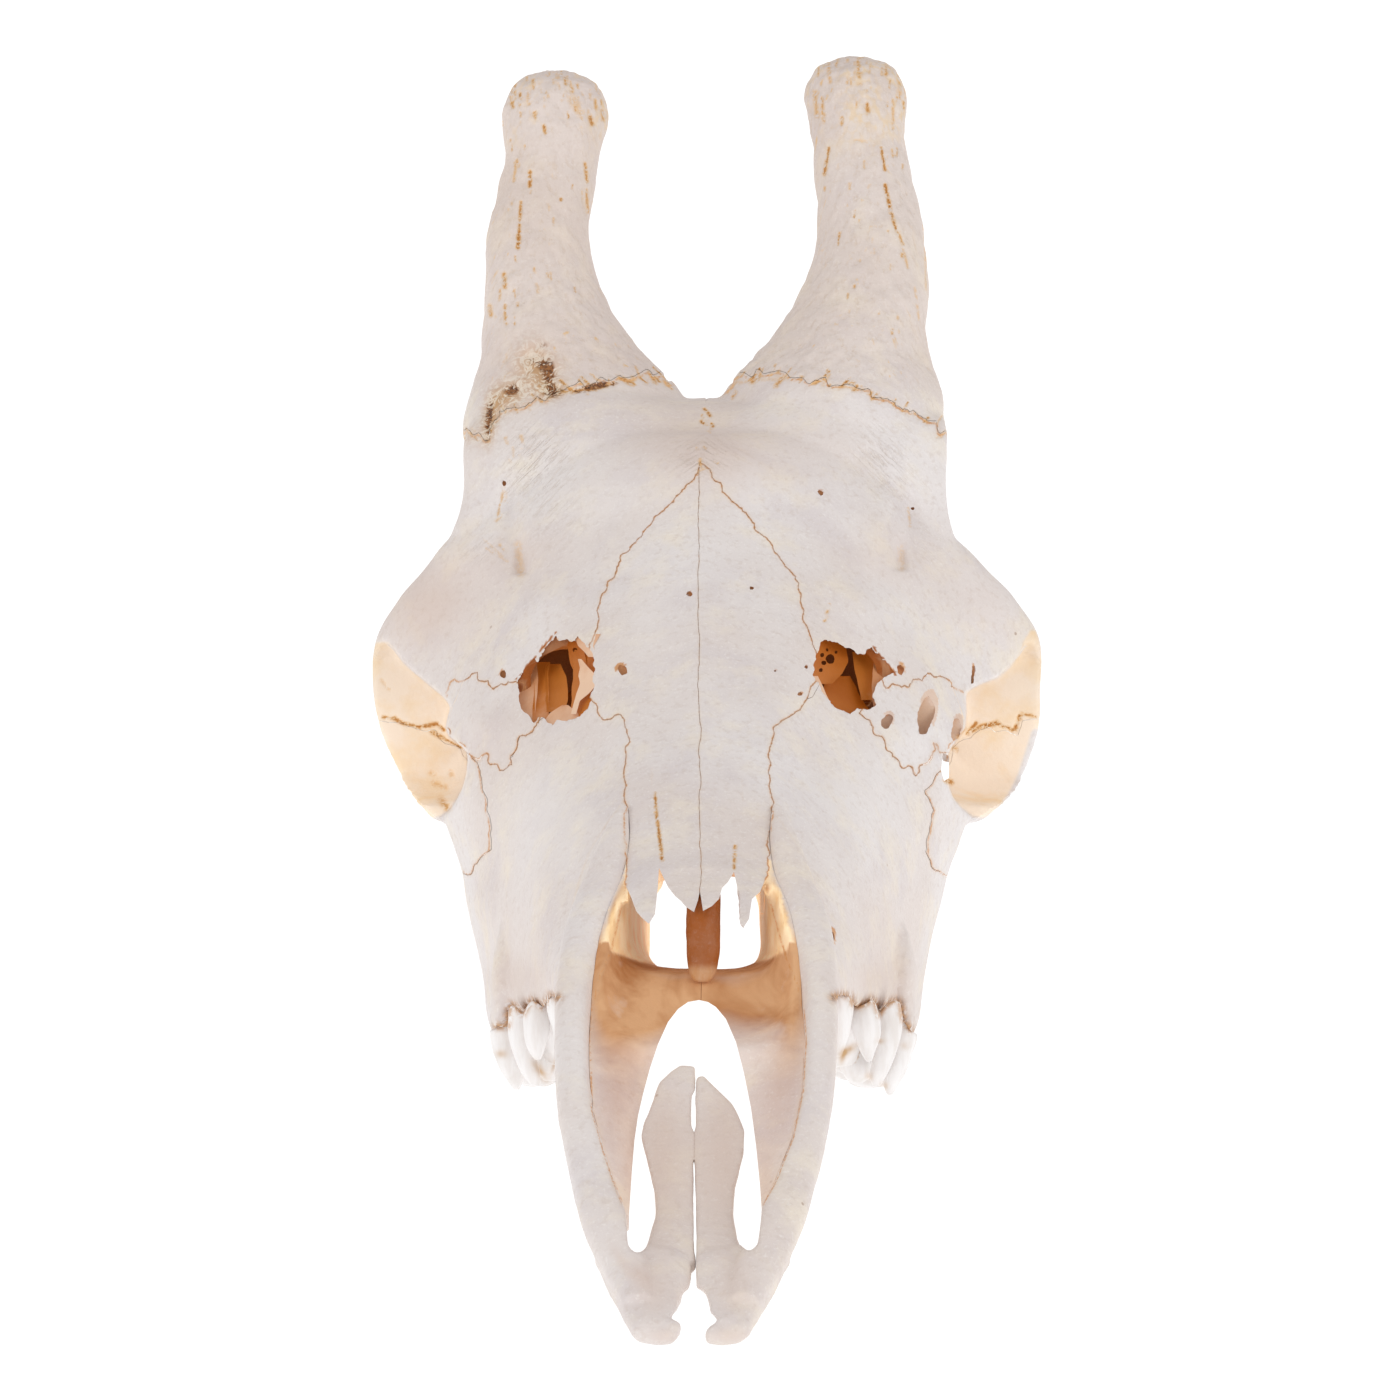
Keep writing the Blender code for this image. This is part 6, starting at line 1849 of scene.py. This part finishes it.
def build_skull():
    """Makes, marks and dresses every piece."""
    rest = rest_matrix()
    bone = bone_surface("dry_bone", colour(233, 227, 225), colour(225, 214, 208))
    horn = bone_surface("ossicone_bone", colour(230, 222, 218), colour(222, 210, 202), 1.0, True)
    # Painted shade: the vomer inside the nose's passage is coloured dark orange-brown
    blade = bone_surface("nose_bone_painted_shade", colour(172, 94, 22), colour(150, 78, 12), 0.1)
    looks = {"ossicone": (horn, "ossicone"), "vomer": (blade, "inner_bone")}
    enamel, plates = tooth_surface(), plate_surface()
    whole = skull_mass()
    fit_outline(whole)
    shape_surface(whole)
    bones, planes, pits = cut_bones(whole)
    for label, side in SIDES:
        bones["premaxilla_" + label] = premaxilla(label, side)
    bones["vomer"] = vomer()
    for name, thing in bones.items():
        thing.name = name + "_bone"
        if name.startswith("lamellae"):
            dress(thing, plates, None, rest)
            continue
        kind = name.split("_")[0]
        finer(thing, FINER_BOXES.get(kind, ()))
        carve(thing)
        mark_bone(name, thing, planes, pits)
        finish, slot = looks.get(kind, (bone, "bone"))
        dress(thing, finish, [name], rest)
    for label, side in SIDES:
        row = teeth(label, side)
        points = points_of(row)
        px, py, _ = picture(points)
        mark(row, "gum", np.exp(-(gum_distance(label, px, py) / 3.4) ** 2))
        mark(row, "worn", limited_spots(px, py, WORN) + (hollow_marks(row, points) > 0.16) * 0.6)
        dress(row, enamel, None, rest)


def build_studio():
    """Floor, lights and camera."""
    rest = rest_matrix()
    span = 30.0 / MM
    floor = surface("floor", [(-span, -span, 0), (span, -span, 0), (span, span, 0), (-span, span, 0)], [(0, 1, 2, 3)])
    n = Nodes("floor_white")
    n.shader.inputs["Base Color"].default_value = (0.15, 0.15, 0.15, 1.0)
    n.shader.inputs["Roughness"].default_value = 0.9
    n.shader.inputs["Emission Color"].default_value = (1.0, 1.0, 1.0, 1.0)
    n.shader.inputs["Emission Strength"].default_value = 0.98
    floor.data.materials.append(n.material)

    world = bpy.data.worlds.new("studio")
    world.use_nodes = True
    world.node_tree.nodes["Background"].inputs[0].default_value = (1.0, 0.985, 0.98, 1.0)
    world.node_tree.nodes["Background"].inputs[1].default_value = 0.66
    bpy.context.scene.world = world
    for name, place, size, power in (("key", (-1.6, -1.4, 1.2), 1.4, 11.0), ("fill", (1.7, -1.3, 1.0), 1.4, 11.0)):
        lamp = add_object(name, bpy.data.lights.new(name, "AREA"))
        lamp.data.size = size
        lamp.data.energy = power
        lamp.location = place
        lamp.rotation_euler = (Vector((0, 0, 0.12)) - Vector(place)).to_track_quat("-Z", "Y").to_euler()

    camera = add_object("camera", bpy.data.cameras.new("camera"))
    turn = Matrix((RIGHT, UP, -FORWARD)).transposed().to_4x4()
    camera.matrix_world = rest @ Matrix.Translation(Vector(EYE_POINT) * MM) @ turn
    camera.data.sensor_width = 36.0
    camera.data.lens = camera.data.sensor_width * ORBIT_DISTANCE / STEP / PICTURE_WIDTH
    camera.data.clip_start = 0.05
    bpy.context.scene.camera = camera
    bpy.context.scene.view_settings.view_transform = "Standard"


build_skull()
build_studio()
